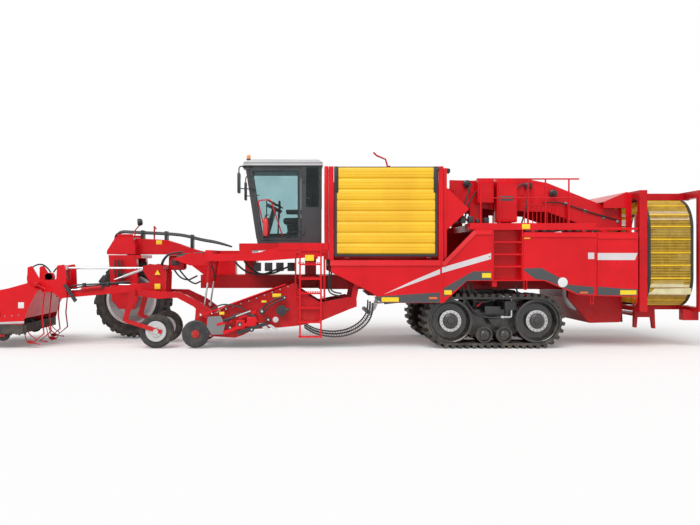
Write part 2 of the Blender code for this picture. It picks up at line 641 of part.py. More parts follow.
def topper():
    arm_origin = (ARM_REAR[0], ARM_Y[0], ARM_REAR[1])
    pieces = []
    for y in ARM_Y:
        span = (y - ARM_WIDTH / 2, y + ARM_WIDTH / 2)
        pieces.append(strut(ARM_FRONT, ARM_REAR, ARM_DEPTH, span))
        for x, z in (ARM_FRONT, ARM_REAR):
            pieces.append(rod((x, span[0], z), (x, span[1], z), 0.075, 20))
    pieces.append(rod((-4.80, ARM_Y[0], 1.17), (-4.80, ARM_Y[1], 1.17), 0.05))
    node("topper_lift_arms", "red_paint", pieces, origin=arm_origin)

    link = [rod((LINK_REAR[0], LINK_Y, LINK_REAR[1]), (LINK_FRONT[0], LINK_Y, LINK_FRONT[1]), 0.024)]
    for x, z in (LINK_REAR, LINK_FRONT):
        link.append(rod((x, LINK_Y - 0.03, z), (x, LINK_Y + 0.03, z), 0.045))
    node("topper_top_link", "bright_steel", link, origin=(LINK_REAR[0], LINK_Y, LINK_REAR[1]))

    wall = 0.012
    outer = [(FRONT_END, 0.50), (FRONT_END, 0.72), (-7.49, 0.995), (-6.87, 1.20), (-6.667, 1.241),
             (-6.298, 1.344),
             (-6.09, 1.20), (-6.30, 0.80), (-6.38, 0.50)]
    inner = [(FRONT_END + wall, 0.40), (FRONT_END + wall, 0.715), (-7.48, 0.985), (-6.868, 1.186),
             (-6.664, 1.227),
             (-6.305, 1.325), (-6.11, 1.19), (-6.312, 0.80), (-6.392, 0.40)]
    pieces = [plate(outer, (TOPPER_LEFT, TOPPER_RIGHT))]
    cuts = [plate(inner, (TOPPER_LEFT + wall, TOPPER_RIGHT - wall))]
    housing = fused(pieces, cuts)
    tower = [(-6.34, 1.10), (-6.43, 1.18), (-6.42, 1.66), (-6.33, 1.69), (-6.16, 1.40), (-5.82, 1.40),
             (-5.80, 1.70),
             (-5.66, 1.72), (-5.62, 1.62), (-5.60, 1.04), (-5.72, 1.0), (-5.90, 1.14), (-6.12, 1.15)]
    frame = [housing]
    for index, y in enumerate(ARM_Y):
        face = y - ARM_WIDTH / 2 - FIT if index == 0 else y + ARM_WIDTH / 2 + FIT
        back = face - 0.04 if index == 0 else face + 0.04
        frame.append(plate(tower, (min(face, back), max(face, back))))
    frame.append(rod((-6.20, TOPPER_LEFT + 0.1, 1.31), (-6.20, TOPPER_RIGHT - 0.1, 1.31), 0.055))
    frame.append(rod((-5.86, ARM_Y[0] - 0.08, 1.36), (-5.86, ARM_Y[1] + 0.08, 1.36), 0.045))
    frame.append(box((-5.90, -5.66), (LINK_Y + 0.03 + FIT, LINK_Y + 0.07), (1.32, 1.70)))
    # Rotor bearings and gauge wheel brackets on the end plates.
    x, z = ROTOR_AXIS
    frame.append(rod((x, TOPPER_LEFT + wall / 2, z), (x, TOPPER_LEFT + 0.05, z), 0.07))
    frame.append(rod((x, TOPPER_RIGHT - 0.05, z), (x, TOPPER_RIGHT - wall / 2, z), 0.07))
    x, z = TOPPER_WHEEL_HUB
    for y in TOPPER_WHEEL_Y:
        end = TOPPER_LEFT if y < 0 else TOPPER_RIGHT
        step = 1 if y < 0 else -1
        span = tuple(sorted((end + step * 0.016, end + step * 0.03)))
        frame.append(plate([(x - 0.06, z - 0.05), (x + 0.06, z - 0.05), (x + 0.12, 0.60), (x - 0.12, 0.60)],
                           span))
        frame.append(box((x - 0.12, x + 0.12), tuple(sorted((end + step * 0.006, end + step * 0.02))),
                         (0.52, 0.60)))
        frame.append(rod((x, end + step * 0.02, z), (x, y - step * (0.05 + FIT), z), 0.03))
    # Crop lifters behind the housing, hung from the cross tube.
    for y in (-1.45, -0.95, -0.30, 0.30):
        frame.append(tube([(-6.19, y, 1.318), (-5.985, y, 1.225), (-6.04, y, 0.62), (-6.00, y, 0.30),
                           (-6.24, y, 0.10),
                           (-6.08, y, 0.08)], 0.016, sides=1))
    origin = (ARM_FRONT[0], ARM_Y[0], ARM_FRONT[1])
    node("topper_housing", "red_paint", frame, origin=origin)

    x0, x1, flap = FRONT_END + 0.002, -6.382, 0.012
    ring = [(x0, TOPPER_LEFT + 0.001), (x1, TOPPER_LEFT + 0.001), (x1, TOPPER_RIGHT - 0.001),
            (x0, TOPPER_RIGHT - 0.001)]
    hole = [(x0 + flap, TOPPER_LEFT + flap), (x1 - flap, TOPPER_LEFT + flap),
            (x1 - flap, TOPPER_RIGHT - flap), (x0 + flap, TOPPER_RIGHT - flap)]
    node("topper_curtain", "black_rubber", [slab([ring, hole], (0.31, 0.50 - FIT), "Z")], origin=origin)

    x, z = ROTOR_AXIS
    ends = (TOPPER_LEFT + 0.05 + FIT, TOPPER_RIGHT - 0.05 - FIT)
    blades = [rod((x, ends[0], z), (x, ends[1], z), 0.09, 24)]
    rows = 11
    for row in range(rows):
        y = TOPPER_LEFT + 0.38 + (TOPPER_RIGHT - TOPPER_LEFT - 0.76) * row / (rows - 1)
        turn = math.radians(62 * row)
        for half in (0, math.pi):
            tip = (math.cos(turn + half) * ROTOR_R, math.sin(turn + half) * ROTOR_R)
            blades.append(strut((x, z), (x + tip[0], z + tip[1]), 0.07, (y - 0.03, y + 0.03)))
    node("topper_rotor", "dark_steel", blades, origin=(x, 0, z))

    x, z = TOPPER_WHEEL_HUB
    for name, y in zip(("topper_wheel_left", "topper_wheel_right"), TOPPER_WHEEL_Y):
        profile = [(-0.05, 0), (-0.05, TOPPER_WHEEL_R - 0.02), (-0.03, TOPPER_WHEEL_R),
                   (0.03, TOPPER_WHEEL_R),
                   (0.05, TOPPER_WHEEL_R - 0.02), (0.05, 0)]
        node(name, "black_rubber", [lathe(profile, (x, y, z), 24)], origin=(x, y, z))


TOPPER_WHEEL_Y = (TOPPER_LEFT + 0.12, TOPPER_RIGHT - 0.12)


# ---------------------------------------------------------------- cab and platform


def cab_outline(inset=0.0):
    """The cab's side outline: upright rear, windscreen leaning forward to the roof."""
    return [(CAB_FRONT + inset, CAB_LOW + inset), (CAB_FRONT - CAB_LEAN + inset, CAB_TOP - inset),
            (CAB_REAR - inset, CAB_TOP - inset), (CAB_REAR - inset, CAB_LOW + inset)]


def windscreen_x(z):
    """Where the windscreen's face is at a height."""
    return CAB_FRONT - CAB_LEAN * (z - CAB_LOW) / (CAB_TOP - CAB_LOW)


DOOR_LOW = CAB_LOW + 0.06
DOOR_TOP = CAB_TOP - 0.05
DOOR_FRONT_LAP = 0.07
WINDOW_LOW = 2.42


def door_outline(inset):
    low, top = DOOR_LOW + inset, DOOR_TOP - inset
    return [(windscreen_x(low) + DOOR_FRONT_LAP + inset, low),
            (windscreen_x(top) + DOOR_FRONT_LAP + inset, top),
            (B_PILLAR - 0.05 - inset, top), (B_PILLAR - 0.05 - inset, low)]


def quarter_window(inset):
    low, top = 2.95 + inset, DOOR_TOP - inset
    return [(B_PILLAR + 0.07 + inset, low), (B_PILLAR + 0.07 + inset, top), (CAB_REAR - 0.07 - inset, top),
            (CAB_REAR - 0.07 - inset, low)]


def right_window(inset):
    low, top = WINDOW_LOW + inset, DOOR_TOP - inset
    return [(windscreen_x(low) + DOOR_FRONT_LAP + inset, low),
            (windscreen_x(top) + DOOR_FRONT_LAP + inset, top),
            (B_PILLAR - 0.05 - inset, top), (B_PILLAR - 0.05 - inset, low)]


def front_sheet(low, top, y, x_back, x_front):
    """A slanted panel parallel to the windscreen, between two offsets from its face."""
    return plate([(windscreen_x(low) + x_front, low), (windscreen_x(top) + x_front, top),
                  (windscreen_x(top) + x_back, top), (windscreen_x(low) + x_back, low)], y)


def cab():
    span = (CAB_LEFT, CAB_RIGHT)
    inside = (CAB_LEFT + CAB_WALL, CAB_RIGHT - CAB_WALL)
    cuts = [plate(cab_outline(CAB_WALL), inside),
            plate(door_outline(0.0), (CAB_LEFT - 0.1, CAB_LEFT + 0.1)),
            plate(quarter_window(0.0), (CAB_LEFT - 0.1, CAB_LEFT + 0.1)),
            plate(right_window(0.0), (CAB_RIGHT - 0.1, CAB_RIGHT + 0.1)),
            front_sheet(CAB_LOW + 0.12, CAB_TOP - 0.08, (CAB_LEFT + 0.07, CAB_RIGHT - 0.07), 0.2, -0.2),
            box((CAB_REAR - 0.1, CAB_REAR + 0.1), (CAB_LEFT + 0.12, CAB_RIGHT - 0.12), (2.90, DOOR_TOP))]
    hinge_z = ((DOOR_LOW + 0.12, DOOR_LOW + 0.20), (DOOR_TOP - 0.30, DOOR_TOP - 0.22))
    pieces = [plate(cab_outline(), span)]
    node("cab_shell", "cab_trim", [fused(pieces, cuts)] + [
        box((B_PILLAR - 0.03, B_PILLAR + 0.02), (CAB_LEFT - 0.03, CAB_LEFT + 0.02), z) for z in hinge_z])

    roof = [(CAB_FRONT - CAB_LEAN - 0.06, CAB_TOP + FIT), (CAB_FRONT - CAB_LEAN - 0.03, CAB_TOP + 0.08),
            (CAB_FRONT - CAB_LEAN + 0.16, CAB_TOP + ROOF_THICK),
            (CAB_REAR - 0.06, CAB_TOP + ROOF_THICK - 0.01),
            (CAB_REAR + 0.03, CAB_TOP + 0.06), (CAB_REAR + 0.03, CAB_TOP + FIT)]
    node("cab_roof", "cab_roof_grey", [plate(roof, (CAB_LEFT - 0.04, CAB_RIGHT + 0.04))])

    node("windscreen", "cab_glass", [
        front_sheet(CAB_LOW + 0.10, CAB_TOP - 0.05, (CAB_LEFT + 0.04, CAB_RIGHT - 0.04), -FIT - 0.0005,
                    -FIT - GLASS)])
    node("cab_window_right", "cab_glass", [
        plate(right_window(-0.02), (CAB_RIGHT + FIT, CAB_RIGHT + FIT + GLASS))])
    node("cab_window_left", "cab_glass", [
        plate(quarter_window(-0.02), (CAB_LEFT - FIT - GLASS, CAB_LEFT - FIT))])
    node("cab_window_rear", "cab_glass", [
        box((CAB_REAR + FIT, CAB_REAR + FIT + GLASS), (CAB_LEFT + 0.10, CAB_RIGHT - 0.10),
            (2.88, DOOR_TOP - 0.01))])

    hinge = (B_PILLAR - 0.005, CAB_LEFT - 0.012)
    frame_y = (CAB_LEFT, CAB_LEFT + 0.04)
    frame = fused([plate(door_outline(SWING_GAP), frame_y)],
                  [plate(door_outline(0.075), (CAB_LEFT - 0.1, CAB_LEFT + 0.1))])
    knuckles = []
    for low, top in hinge_z:
        z = (top + FIT, top + 0.05)
        knuckles.append(box((B_PILLAR - 0.10, B_PILLAR - 0.001), (CAB_LEFT - 0.024, CAB_LEFT - RUN_GAP), z))
        knuckles.append(box((B_PILLAR - 0.10, B_PILLAR - 0.06), (CAB_LEFT - 0.024, CAB_LEFT + 0.002), z))
    node("cab_door", "cab_trim", [frame] + knuckles, origin=(*hinge, DOOR_LOW))
    node("cab_door_glass", "cab_glass", [
        plate(door_outline(0.055), (CAB_LEFT - FIT - GLASS, CAB_LEFT - FIT))], origin=(*hinge, DOOR_LOW))


def cab_inside():
    floor = CAB_LOW + CAB_WALL + FIT
    middle = CAB_LEFT + 0.75
    node("driver_seat", "seat_cloth", [
        box((-0.98, -0.62), (middle - 0.16, middle + 0.16), (floor, floor + 0.36)),
        box((-1.10, -0.56), (middle - 0.26, middle + 0.26), (floor + 0.34, floor + 0.50)),
        plate([(-0.72, floor + 0.42), (-0.58, floor + 0.42), (-0.46, floor + 1.10), (-0.58, floor + 1.10)],
              (middle - 0.24, middle + 0.24)),
        box((-0.98, -0.62), (middle + 0.33, middle + 0.49), (floor + 0.30, floor + 0.55)),
        box((-0.92, -0.72), (middle + 0.20, middle + 0.36), (floor + 0.38, floor + 0.46)),
        box((-1.20, -0.60), (middle + 0.30, middle + 0.52), (floor + 0.52, floor + 0.62)),
        rod((-1.12, middle + 0.41, floor + 0.60), (-1.14, middle + 0.41, floor + 0.74), 0.025),
        box((-1.30, -1.26), (middle + 0.28, middle + 0.54), (floor + 0.62, floor + 0.86)),
        box((-1.28, -1.16), (middle + 0.38, middle + 0.44), (floor + 0.54, floor + 0.66))])
    node("steering_console", "cab_trim", [
        strut((-1.46, floor + 0.06), (-1.28, floor + 0.70), 0.10, (middle - 0.09, middle + 0.09)),
        box((-1.52, -1.32), (middle - 0.13, middle + 0.13), (floor, floor + 0.08)),
        rod((-1.30, middle, floor + 0.70), (-1.27, middle, floor + 0.76), 0.19, 24)])


PLATFORM_LOW = 2.02
PLATFORM_TOP = CAB_LOW - FIT
PLATFORM_FRONT = -1.99
PLATFORM_REAR = BUNKER_FRONT - RUN_GAP


def platform():
    beam_y = (-1.60, -1.46)
    pieces = [
        box((PLATFORM_FRONT, -1.15), (-1.20, 0.62), (PLATFORM_LOW, PLATFORM_TOP)),
        box((-1.15, PLATFORM_REAR), (DECK_EDGE, 0.62), (PLATFORM_LOW, PLATFORM_TOP)),
        plate([(-2.655, 1.795), (-2.655, 1.94), (-1.60, 1.96), (-1.10, 2.10), (PLATFORM_REAR, 2.10),
               (PLATFORM_REAR, 1.90), (-1.40, 1.80)], beam_y),
        box((-1.95, -1.70), (-1.58, FRONT_BOX_Y[1]), (1.84, PLATFORM_LOW + 0.02)),
        box((-0.60, -0.35), (-1.58, FRONT_BOX_Y[1]), (1.84, PLATFORM_LOW + 0.02)),
        box((-1.95, -1.70), FRONT_BOX_Y, (FRAME_TOP + FIT, 1.90)),
        box((-0.60, -0.35), FRONT_BOX_Y, (FRAME_TOP + FIT, 1.90)),
        box((-2.655, -2.50), (-1.60, -0.10), (1.93, 2.02)),
        box((-2.655, -1.80), (-0.20, -0.10), (1.93, 2.02)),
    ]
    for index, y in enumerate(LIFT_Y):
        for side in (-1, 1):
            face = y + side * (PIN_HALF + FIT)
            back = y + side * (PIN_HALF + 0.018)
            pieces.append(box((CYLINDER_TOP[0] - 0.05, CYLINDER_TOP[0] + 0.05), tuple(sorted((face, back))),
                              (CYLINDER_TOP[1] - 0.04, 1.96)))
    nose = [(-3.361, 1.836), (-2.983, 1.966), (-2.67, 1.95), (-2.44, 1.92), (-2.42, 1.80), (-2.60, 1.72),
            (-3.0, 1.70)]
    pieces.append(plate(nose, (-1.34, -0.80)))
    pieces.append(box((-2.64, -2.51), (-1.30, -0.84), (1.88, 1.95)))
    node("cab_platform", "red_paint", pieces)


def cab_ladder():
    y = (-HALF_WIDTH + 0.005, DECK_EDGE - FIT)
    middle = (y[0] + y[1]) / 2
    pieces = []
    for x in (-0.714, -0.286):
        pieces.append(box((x - 0.018, x + 0.018), y, (0.224, PLATFORM_TOP - 0.01)))
    steps = 7
    for step in range(steps):
        z = 0.245 + (2.02 - 0.245) * step / (steps - 1)
        pieces.append(box((-0.714, -0.286), y, (z - 0.015, z + 0.015)))
    for x in (-0.796, -0.204):
        inner = -0.714 if x < -0.5 else -0.286
        pieces.append(tube([(inner, middle, 1.06), (x, middle, 1.06), (x, middle, 1.98),
                            (inner, middle, 1.98)], 0.014))
    node("cab_ladder", "red_paint", pieces)


# ---------------------------------------------------------------- bunker


FLOOR_LINE = [(-1.50, SILL), (-0.90, 1.68), (HALF_WIDTH - SKIN - 0.004, 2.50)]


def bunker():
    right = HALF_WIDTH - SKIN - 0.004
    outer = FLOOR_LINE + [(right, BUNKER_TOP), (-1.50, BUNKER_TOP)]
    wall = BUNKER_WALL
    inner = [(-1.60, SILL + 0.09), (-0.90, 1.68 + wall + 0.02), (right - wall, 2.50 + wall),
             (right - wall, BUNKER_TOP + 0.2),
             (-1.60, BUNKER_TOP + 0.2)]
    hollow = slab([inner], (BUNKER_FRONT + wall, BUNKER_REAR - wall), "X")
    notch = box((BUNKER_REAR - 0.15, BUNKER_REAR + 0.1), (-0.75, 0.75), (3.02, BUNKER_TOP + 0.2))
    shell = fused([slab([outer], (BUNKER_FRONT, BUNKER_REAR), "X")], [hollow, notch])
    pieces = [shell]
    for x in (BUNKER_FRONT, BUNKER_REAR - POST_WIDTH):
        pieces.append(box((x, x + POST_WIDTH), (-HALF_WIDTH, -1.47), (SKIRT_TOP + FIT, POST_TOP)))
    for x in (0.25, BUNKER_REAR - 0.40):
        for y, reach in ((-RAIL_Y, 0.36), (RAIL_Y, 0.70)):
            pieces.append(box((x, x + 0.12), (y - 0.05, y + 0.05), (FRAME_TOP + FIT, FRAME_TOP + reach)))
    gusset = [(BUNKER_REAR - 0.01, 3.388), (BUNKER_REAR + 0.54, 2.857), (BUNKER_REAR - 0.01, 2.347)]
    pieces.append(plate(gusset, (-1.58, -1.55)))
    pieces.append(plate(gusset, (1.55, 1.58)))
    # Hinge lugs for the unloading conveyor, on the sill.
    for x in HINGE_LUGS:
        pieces.append(box((x, x + 0.05), (-HALF_WIDTH + 0.012, -1.48), (SILL - 0.005, SILL + 0.02)))
    node("bunker_shell", "red_paint", pieces)


HINGE_LUGS = (0.20, BUNKER_REAR - 0.35)
CONVEYOR_FRONT = BUNKER_FRONT + POST_WIDTH + RUN_GAP + 0.008
CONVEYOR_REAR = BUNKER_REAR - POST_WIDTH - RUN_GAP - 0.008
CONVEYOR_FOOT = 0.045
CONVEYOR_AXIS = (-HALF_WIDTH + 0.03, SILL + 0.005)


def unloading_conveyor():
    y = (-HALF_WIDTH + 0.01, -HALF_WIDTH + 0.01 + CONVEYOR_THICK)
    low, top = SILL + 0.03, POST_TOP
    origin = (0, *CONVEYOR_AXIS)
    rail = 0.055
    panel = box((CONVEYOR_FRONT, CONVEYOR_REAR), y, (low, top))
    face = box((CONVEYOR_FRONT + rail, CONVEYOR_REAR - rail), (y[0] - 0.1, y[0] + 0.05),
               (low + CONVEYOR_FOOT, top + 0.1))
    back = box((CONVEYOR_FRONT + rail, CONVEYOR_REAR - rail), (y[1] - 0.03, y[1] + 0.1),
               (low - 0.1, top + 0.1))
    ears = [box((x + 0.05 + FIT, x + 0.10), (y[0] + 0.005, y[0] + 0.045),
                (SILL - 0.012, low + 0.04)) for x in HINGE_LUGS]
    node("unloading_conveyor", "dark_steel", [fused([panel], [face, back])] + ears, origin=origin)
    slats = 8
    bottom = low + CONVEYOR_FOOT + FIT
    tall = (top - 0.02 - bottom) / slats
    outline = []
    for slat in range(slats):
        z = bottom + slat * tall
        outline += [(y[0] + 0.030, z), (y[0] + 0.006, z + 0.035), (y[0] + 0.006, z + tall - 0.05),
                    (y[0] + 0.018, z + tall - 0.002)]
    outline += [(y[0] + 0.05 - FIT, top - 0.02), (y[0] + 0.05 - FIT, bottom)]
    node("conveyor_slats", "yellow_sheet",
         [slab([outline], (CONVEYOR_FRONT + rail + FIT, CONVEYOR_REAR - rail - FIT), "X")], origin=origin)


def bunker_filler():
    """The hinged head of the transfer conveyor, which reaches over the bunker."""
    x, z = FILLER_PIVOT
    pieces = [fused([box((0.62, x - 0.02), (-0.58, 0.58), (3.20, 3.42))],
                    [box((0.50, x), (-0.54, 0.54), (3.30, 3.6)),
                     box((0.7, x - 0.1), (-0.54, 0.54), (3.0, 3.24))])]
    for side in (-1, 1):
        pieces.append(plate([(x - 0.30, z - 0.07), (x, z - 0.05), (x + 0.04, z), (x, z + 0.05),
                             (x - 0.30, z + 0.07)],
                            tuple(sorted((side * 0.58, side * 0.54)))))
    pieces.append(tube([(1.42, -0.57, 3.40), (1.18, -0.57, 3.86), (1.14, -0.57, 4.0), (0.95, -0.57, 4.08),
                        (0.88, -0.57, 4.15)], 0.02))
    pieces.append(plate([(1.28, 3.38), (1.44, 3.38), (1.24, 3.86), (1.17, 3.86)], (-0.585, -0.56)))
    node("bunker_filler", "red_paint", pieces, origin=(x, 0, z))


FILLER_PIVOT = (BUNKER_REAR + 0.26, 3.30)


# ---------------------------------------------------------------- side panels


def skirt_outline():
    front = BUNKER_FRONT + 0.046
    return [(front, SKIRT_TOP), (BUNKER_REAR, SKIRT_TOP), (BUNKER_REAR, ARCH_LOW),
            (front + 1.102, ARCH_LOW),
            (front + 0.837, 1.143), (front, 1.571)]


def shoulder_outline():
    x = BUNKER_REAR + FIT
    return [(x, SKIRT_TOP - 0.04), (x + 0.653, DECK_LOW + 0.02), (ALCOVE_FRONT, DECK_LOW + 0.02),
            (ALCOVE_FRONT, ARCH_TOP),
            (ALCOVE_FRONT - 0.53, ARCH_TOP), (x, ARCH_LOW)]


def mid_door_outline():
    x = ALCOVE_REAR + SWING_GAP
    return [(x, DOOR_TOP_EDGE), (MID_DOOR_REAR, DOOR_TOP_EDGE), (MID_DOOR_REAR, 1.082),
            (MID_DOOR_REAR - 0.388, 1.102),
            (MID_DOOR_REAR - 1.061, ARCH_TOP), (x, ARCH_TOP)]


def rear_door_outline():
    x = MID_DOOR_REAR + SWING_GAP
    return [(x, DOOR_TOP_EDGE), (REAR_DOOR_REAR, DOOR_TOP_EDGE), (REAR_DOOR_REAR, 1.061), (x, 1.082)]


DOOR_AXIS = (-HALF_WIDTH + 0.015, DECK_LOW - 0.020)
DOOR_TOP_EDGE = DECK_LOW - 0.045
LUG_SPANS = {
    # door: lug places along X, measured from the door's front edge
    "side_door": (0.15, 1.20),
    "rear_door": (0.10, 0.62),
}


def top_hinged_door(name, outline, front, lugs):
    y = (-HALF_WIDTH, -HALF_WIDTH + SKIN)
    pieces = [plate(outline, y)]
    for place in lugs:
        x = front + place
        pieces.append(box((x + 0.05 + FIT, x + 0.09), (y[0] + 0.003, y[1] - 0.003),
                          (DECK_LOW - 0.06, DECK_LOW - 0.010)))
    left = node(name + "_left", "red_paint", pieces, origin=(front, *DOOR_AXIS))
    mirrored(left, name + "_right")


def side_panels():
    y = (-HALF_WIDTH, -HALF_WIDTH + SKIN)
    node("bunker_skirt_left", "red_paint", [plate(skirt_outline(), y)])
    node("shoulder_panel_left", "red_paint", [plate(shoulder_outline(), y)])
    shoulder = shoulder_outline()[1:2] + [(ALCOVE_REAR, DECK_LOW + 0.02), (ALCOVE_REAR, ARCH_TOP),
                                          (ALCOVE_FRONT - 0.53, ARCH_TOP)]
    skirt = skirt_outline()
    node("side_panel_right", "red_paint",
         [plate(skirt[:2] + shoulder + skirt[2:], (HALF_WIDTH - SKIN, HALF_WIDTH))])

    wall, back = 0.02, -HALF_WIDTH + 0.28
    low = ARCH_TOP
    x0, x1 = ALCOVE_FRONT + FIT, ALCOVE_REAR
    alcove = fused([box((x0, x1), (-HALF_WIDTH, back), (low, DECK_LOW - FIT))],
                   [box((x0 + wall, x1 - wall), (-HALF_WIDTH - 0.1, back - wall),
                        (low + wall, DECK_LOW + 0.1))])
    steps = [box((x0 + wall / 2, x1 - wall / 2), (-HALF_WIDTH + 0.03, back - wall / 2),
                 (z - 0.015, z + 0.015))
             for z in (1.68, 1.93, 2.18)]
    foot = box((x0 + 0.1, x1 - 0.1), (back - 0.01, -DECK_POST_Y - 0.05 - FIT), (low + 0.12, low + 0.2))
    node("ladder_alcove", "red_paint", [alcove, foot] + steps)

    top_hinged_door("side_door", mid_door_outline(), ALCOVE_REAR, LUG_SPANS["side_door"])
    top_hinged_door("rear_door", rear_door_outline(), MID_DOOR_REAR, LUG_SPANS["rear_door"])


def door_lugs(front, lugs):
    """Fixed hinge lugs under the deck edge, beside each door's own."""
    made = []
    for place in lugs:
        x = front + place
        for y in both_sides((-HALF_WIDTH + 0.003, -HALF_WIDTH + SKIN - 0.003)):
            made.append(box((x + 0.01, x + 0.05), y, (DECK_LOW - 0.032, DECK_LOW + 0.02)))
    return made


# ---------------------------------------------------------------- deck and rear


def deck():
    opening = box((DECK_START - 0.1, DECK_START + 0.15), (-1.10, 1.10), (DECK_LOW - 0.1, DECK_TOP + 0.1))
    pieces = [box((DECK_START, DECK_END), (-HALF_WIDTH, HALF_WIDTH), (DECK_LOW, DECK_TOP)),
              box((DECK_END - 0.02, REAR_DOOR_REAR), (-HALF_WIDTH, -HALF_WIDTH + 0.06),
                  (DECK_LOW, DECK_LOW + 0.05)),
              box((DECK_END - 0.02, REAR_DOOR_REAR), (HALF_WIDTH - 0.06, HALF_WIDTH),
                  (DECK_LOW, DECK_LOW + 0.05))]
    cuts = [opening,
            box((DECK_END - 0.42, DECK_END + 0.1), (-1.12, 1.12), (DECK_LOW - 0.1, DECK_TOP + 0.1)),
            box((DECK_START + 0.1, DECK_END - 0.52), (-1.5, -1.3), (DECK_LOW - 0.1, DECK_TOP - 0.03)),
            box((DECK_START - 0.1, ALCOVE_FRONT + FIT), (-HALF_WIDTH - 0.1, -HALF_WIDTH + SKIN + FIT),
                (DECK_LOW - 0.1, DECK_LOW + 0.02 + FIT)),
            box((DECK_START - 0.1, ALCOVE_REAR + FIT), (HALF_WIDTH - SKIN - FIT, HALF_WIDTH + 0.1),
                (DECK_LOW - 0.1, DECK_LOW + 0.02 + FIT))]
    lugs = door_lugs(ALCOVE_REAR, LUG_SPANS["side_door"]) + door_lugs(MID_DOOR_REAR, LUG_SPANS["rear_door"])
    mid, top = 3.09, 3.48
    posts = (DECK_START + 0.24, DECK_START + 0.63, DECK_START + 1.21, DECK_START + 1.57, DECK_START + 2.05)
    rails = []
    for y in (-1.55, 1.55):
        rails.append(tube([(posts[0] - 0.08, y, top), (posts[-1] + 0.21, y, top)], 0.018))
        rails.append(tube([(posts[0] - 0.05, y, mid), (posts[-1] + 0.18, y, mid)], 0.014))
        rails += [rod((x, y, DECK_TOP - 0.02), (x, y, top), 0.018, 8) for x in posts]
    node("platform_deck", "red_paint", [fused(pieces, cuts)] + lugs + rails)


TRANSFER_START = BUNKER_REAR + 0.23


def transfer_conveyor():
    x = TRANSFER_START
    side = [(x, 3.505), (x + 0.9, 3.484), (x + 1.54, 3.547), (x + 2.07, 3.442), (x + 3.23, 2.977),
            (x + 3.64, 2.86),
            (x + 3.64, 2.45), (x + 3.23, 2.40), (x + 2.07, 2.83), (x + 1.3, 2.86), (x, 2.95)]
    pieces = [plate(side, y) for y in both_sides((-1.05, -1.02))]
    pieces.append(plate([(x + 0.05, 3.16), (x + 1.4, 3.16), (x + 2.05, 3.12), (x + 3.60, 2.64),
                         (x + 3.60, 2.56),
                         (x + 2.05, 3.00), (x + 1.4, 3.04), (x + 0.05, 3.04)], (-1.03, 1.03)))
    for place, wide in ((0.42, 0.26), (1.00, 0.30)):
        for span in both_sides((-1.10, -1.04)):
            pieces.append(box((x + place, x + place + wide), span, (DECK_TOP + FIT, 3.44)))
    for side_sign in (-1, 1):
        pieces.append(box((FILLER_PIVOT[0] - 0.06, x + 0.2),
                          tuple(sorted((side_sign * (0.58 + FIT), side_sign * 0.62))), (3.10, 3.36)))
    node("transfer_conveyor", "red_paint", pieces)

    hood_x = RING_FRONT - FIT
    hood = [(hood_x - 0.59, 2.90), (hood_x - 0.59, 3.03), (hood_x - 0.10, 3.24), (hood_x, 3.20),
            (hood_x, 2.40), (hood_x - 0.12, 2.40),
            (hood_x - 0.12, 2.90)]
    pieces = [plate(hood, y) for y in both_sides((-1.25, -1.22))]
    pieces.append(plate([(hood_x - 0.59, 3.03), (hood_x - 0.10, 3.24), (hood_x, 3.20), (hood_x, 3.18),
                         (hood_x - 0.10, 3.22),
                         (hood_x - 0.57, 3.015)], (-1.25, 1.25)))
    node("discharge_hood", "red_paint", pieces)


def rounded_loop(half_width, low, top, corner, steps=8):
    """A rectangle with round corners, as (y, z) points."""
    points = []
    for y, z, start in ((half_width - corner, low + corner, -90), (half_width - corner, top - corner, 0),
                        (-half_width + corner, top - corner, 90), (-half_width + corner, low + corner,
                                                                   180)):
        points += arc((y, z), corner, start, start + 90, steps)
    return points


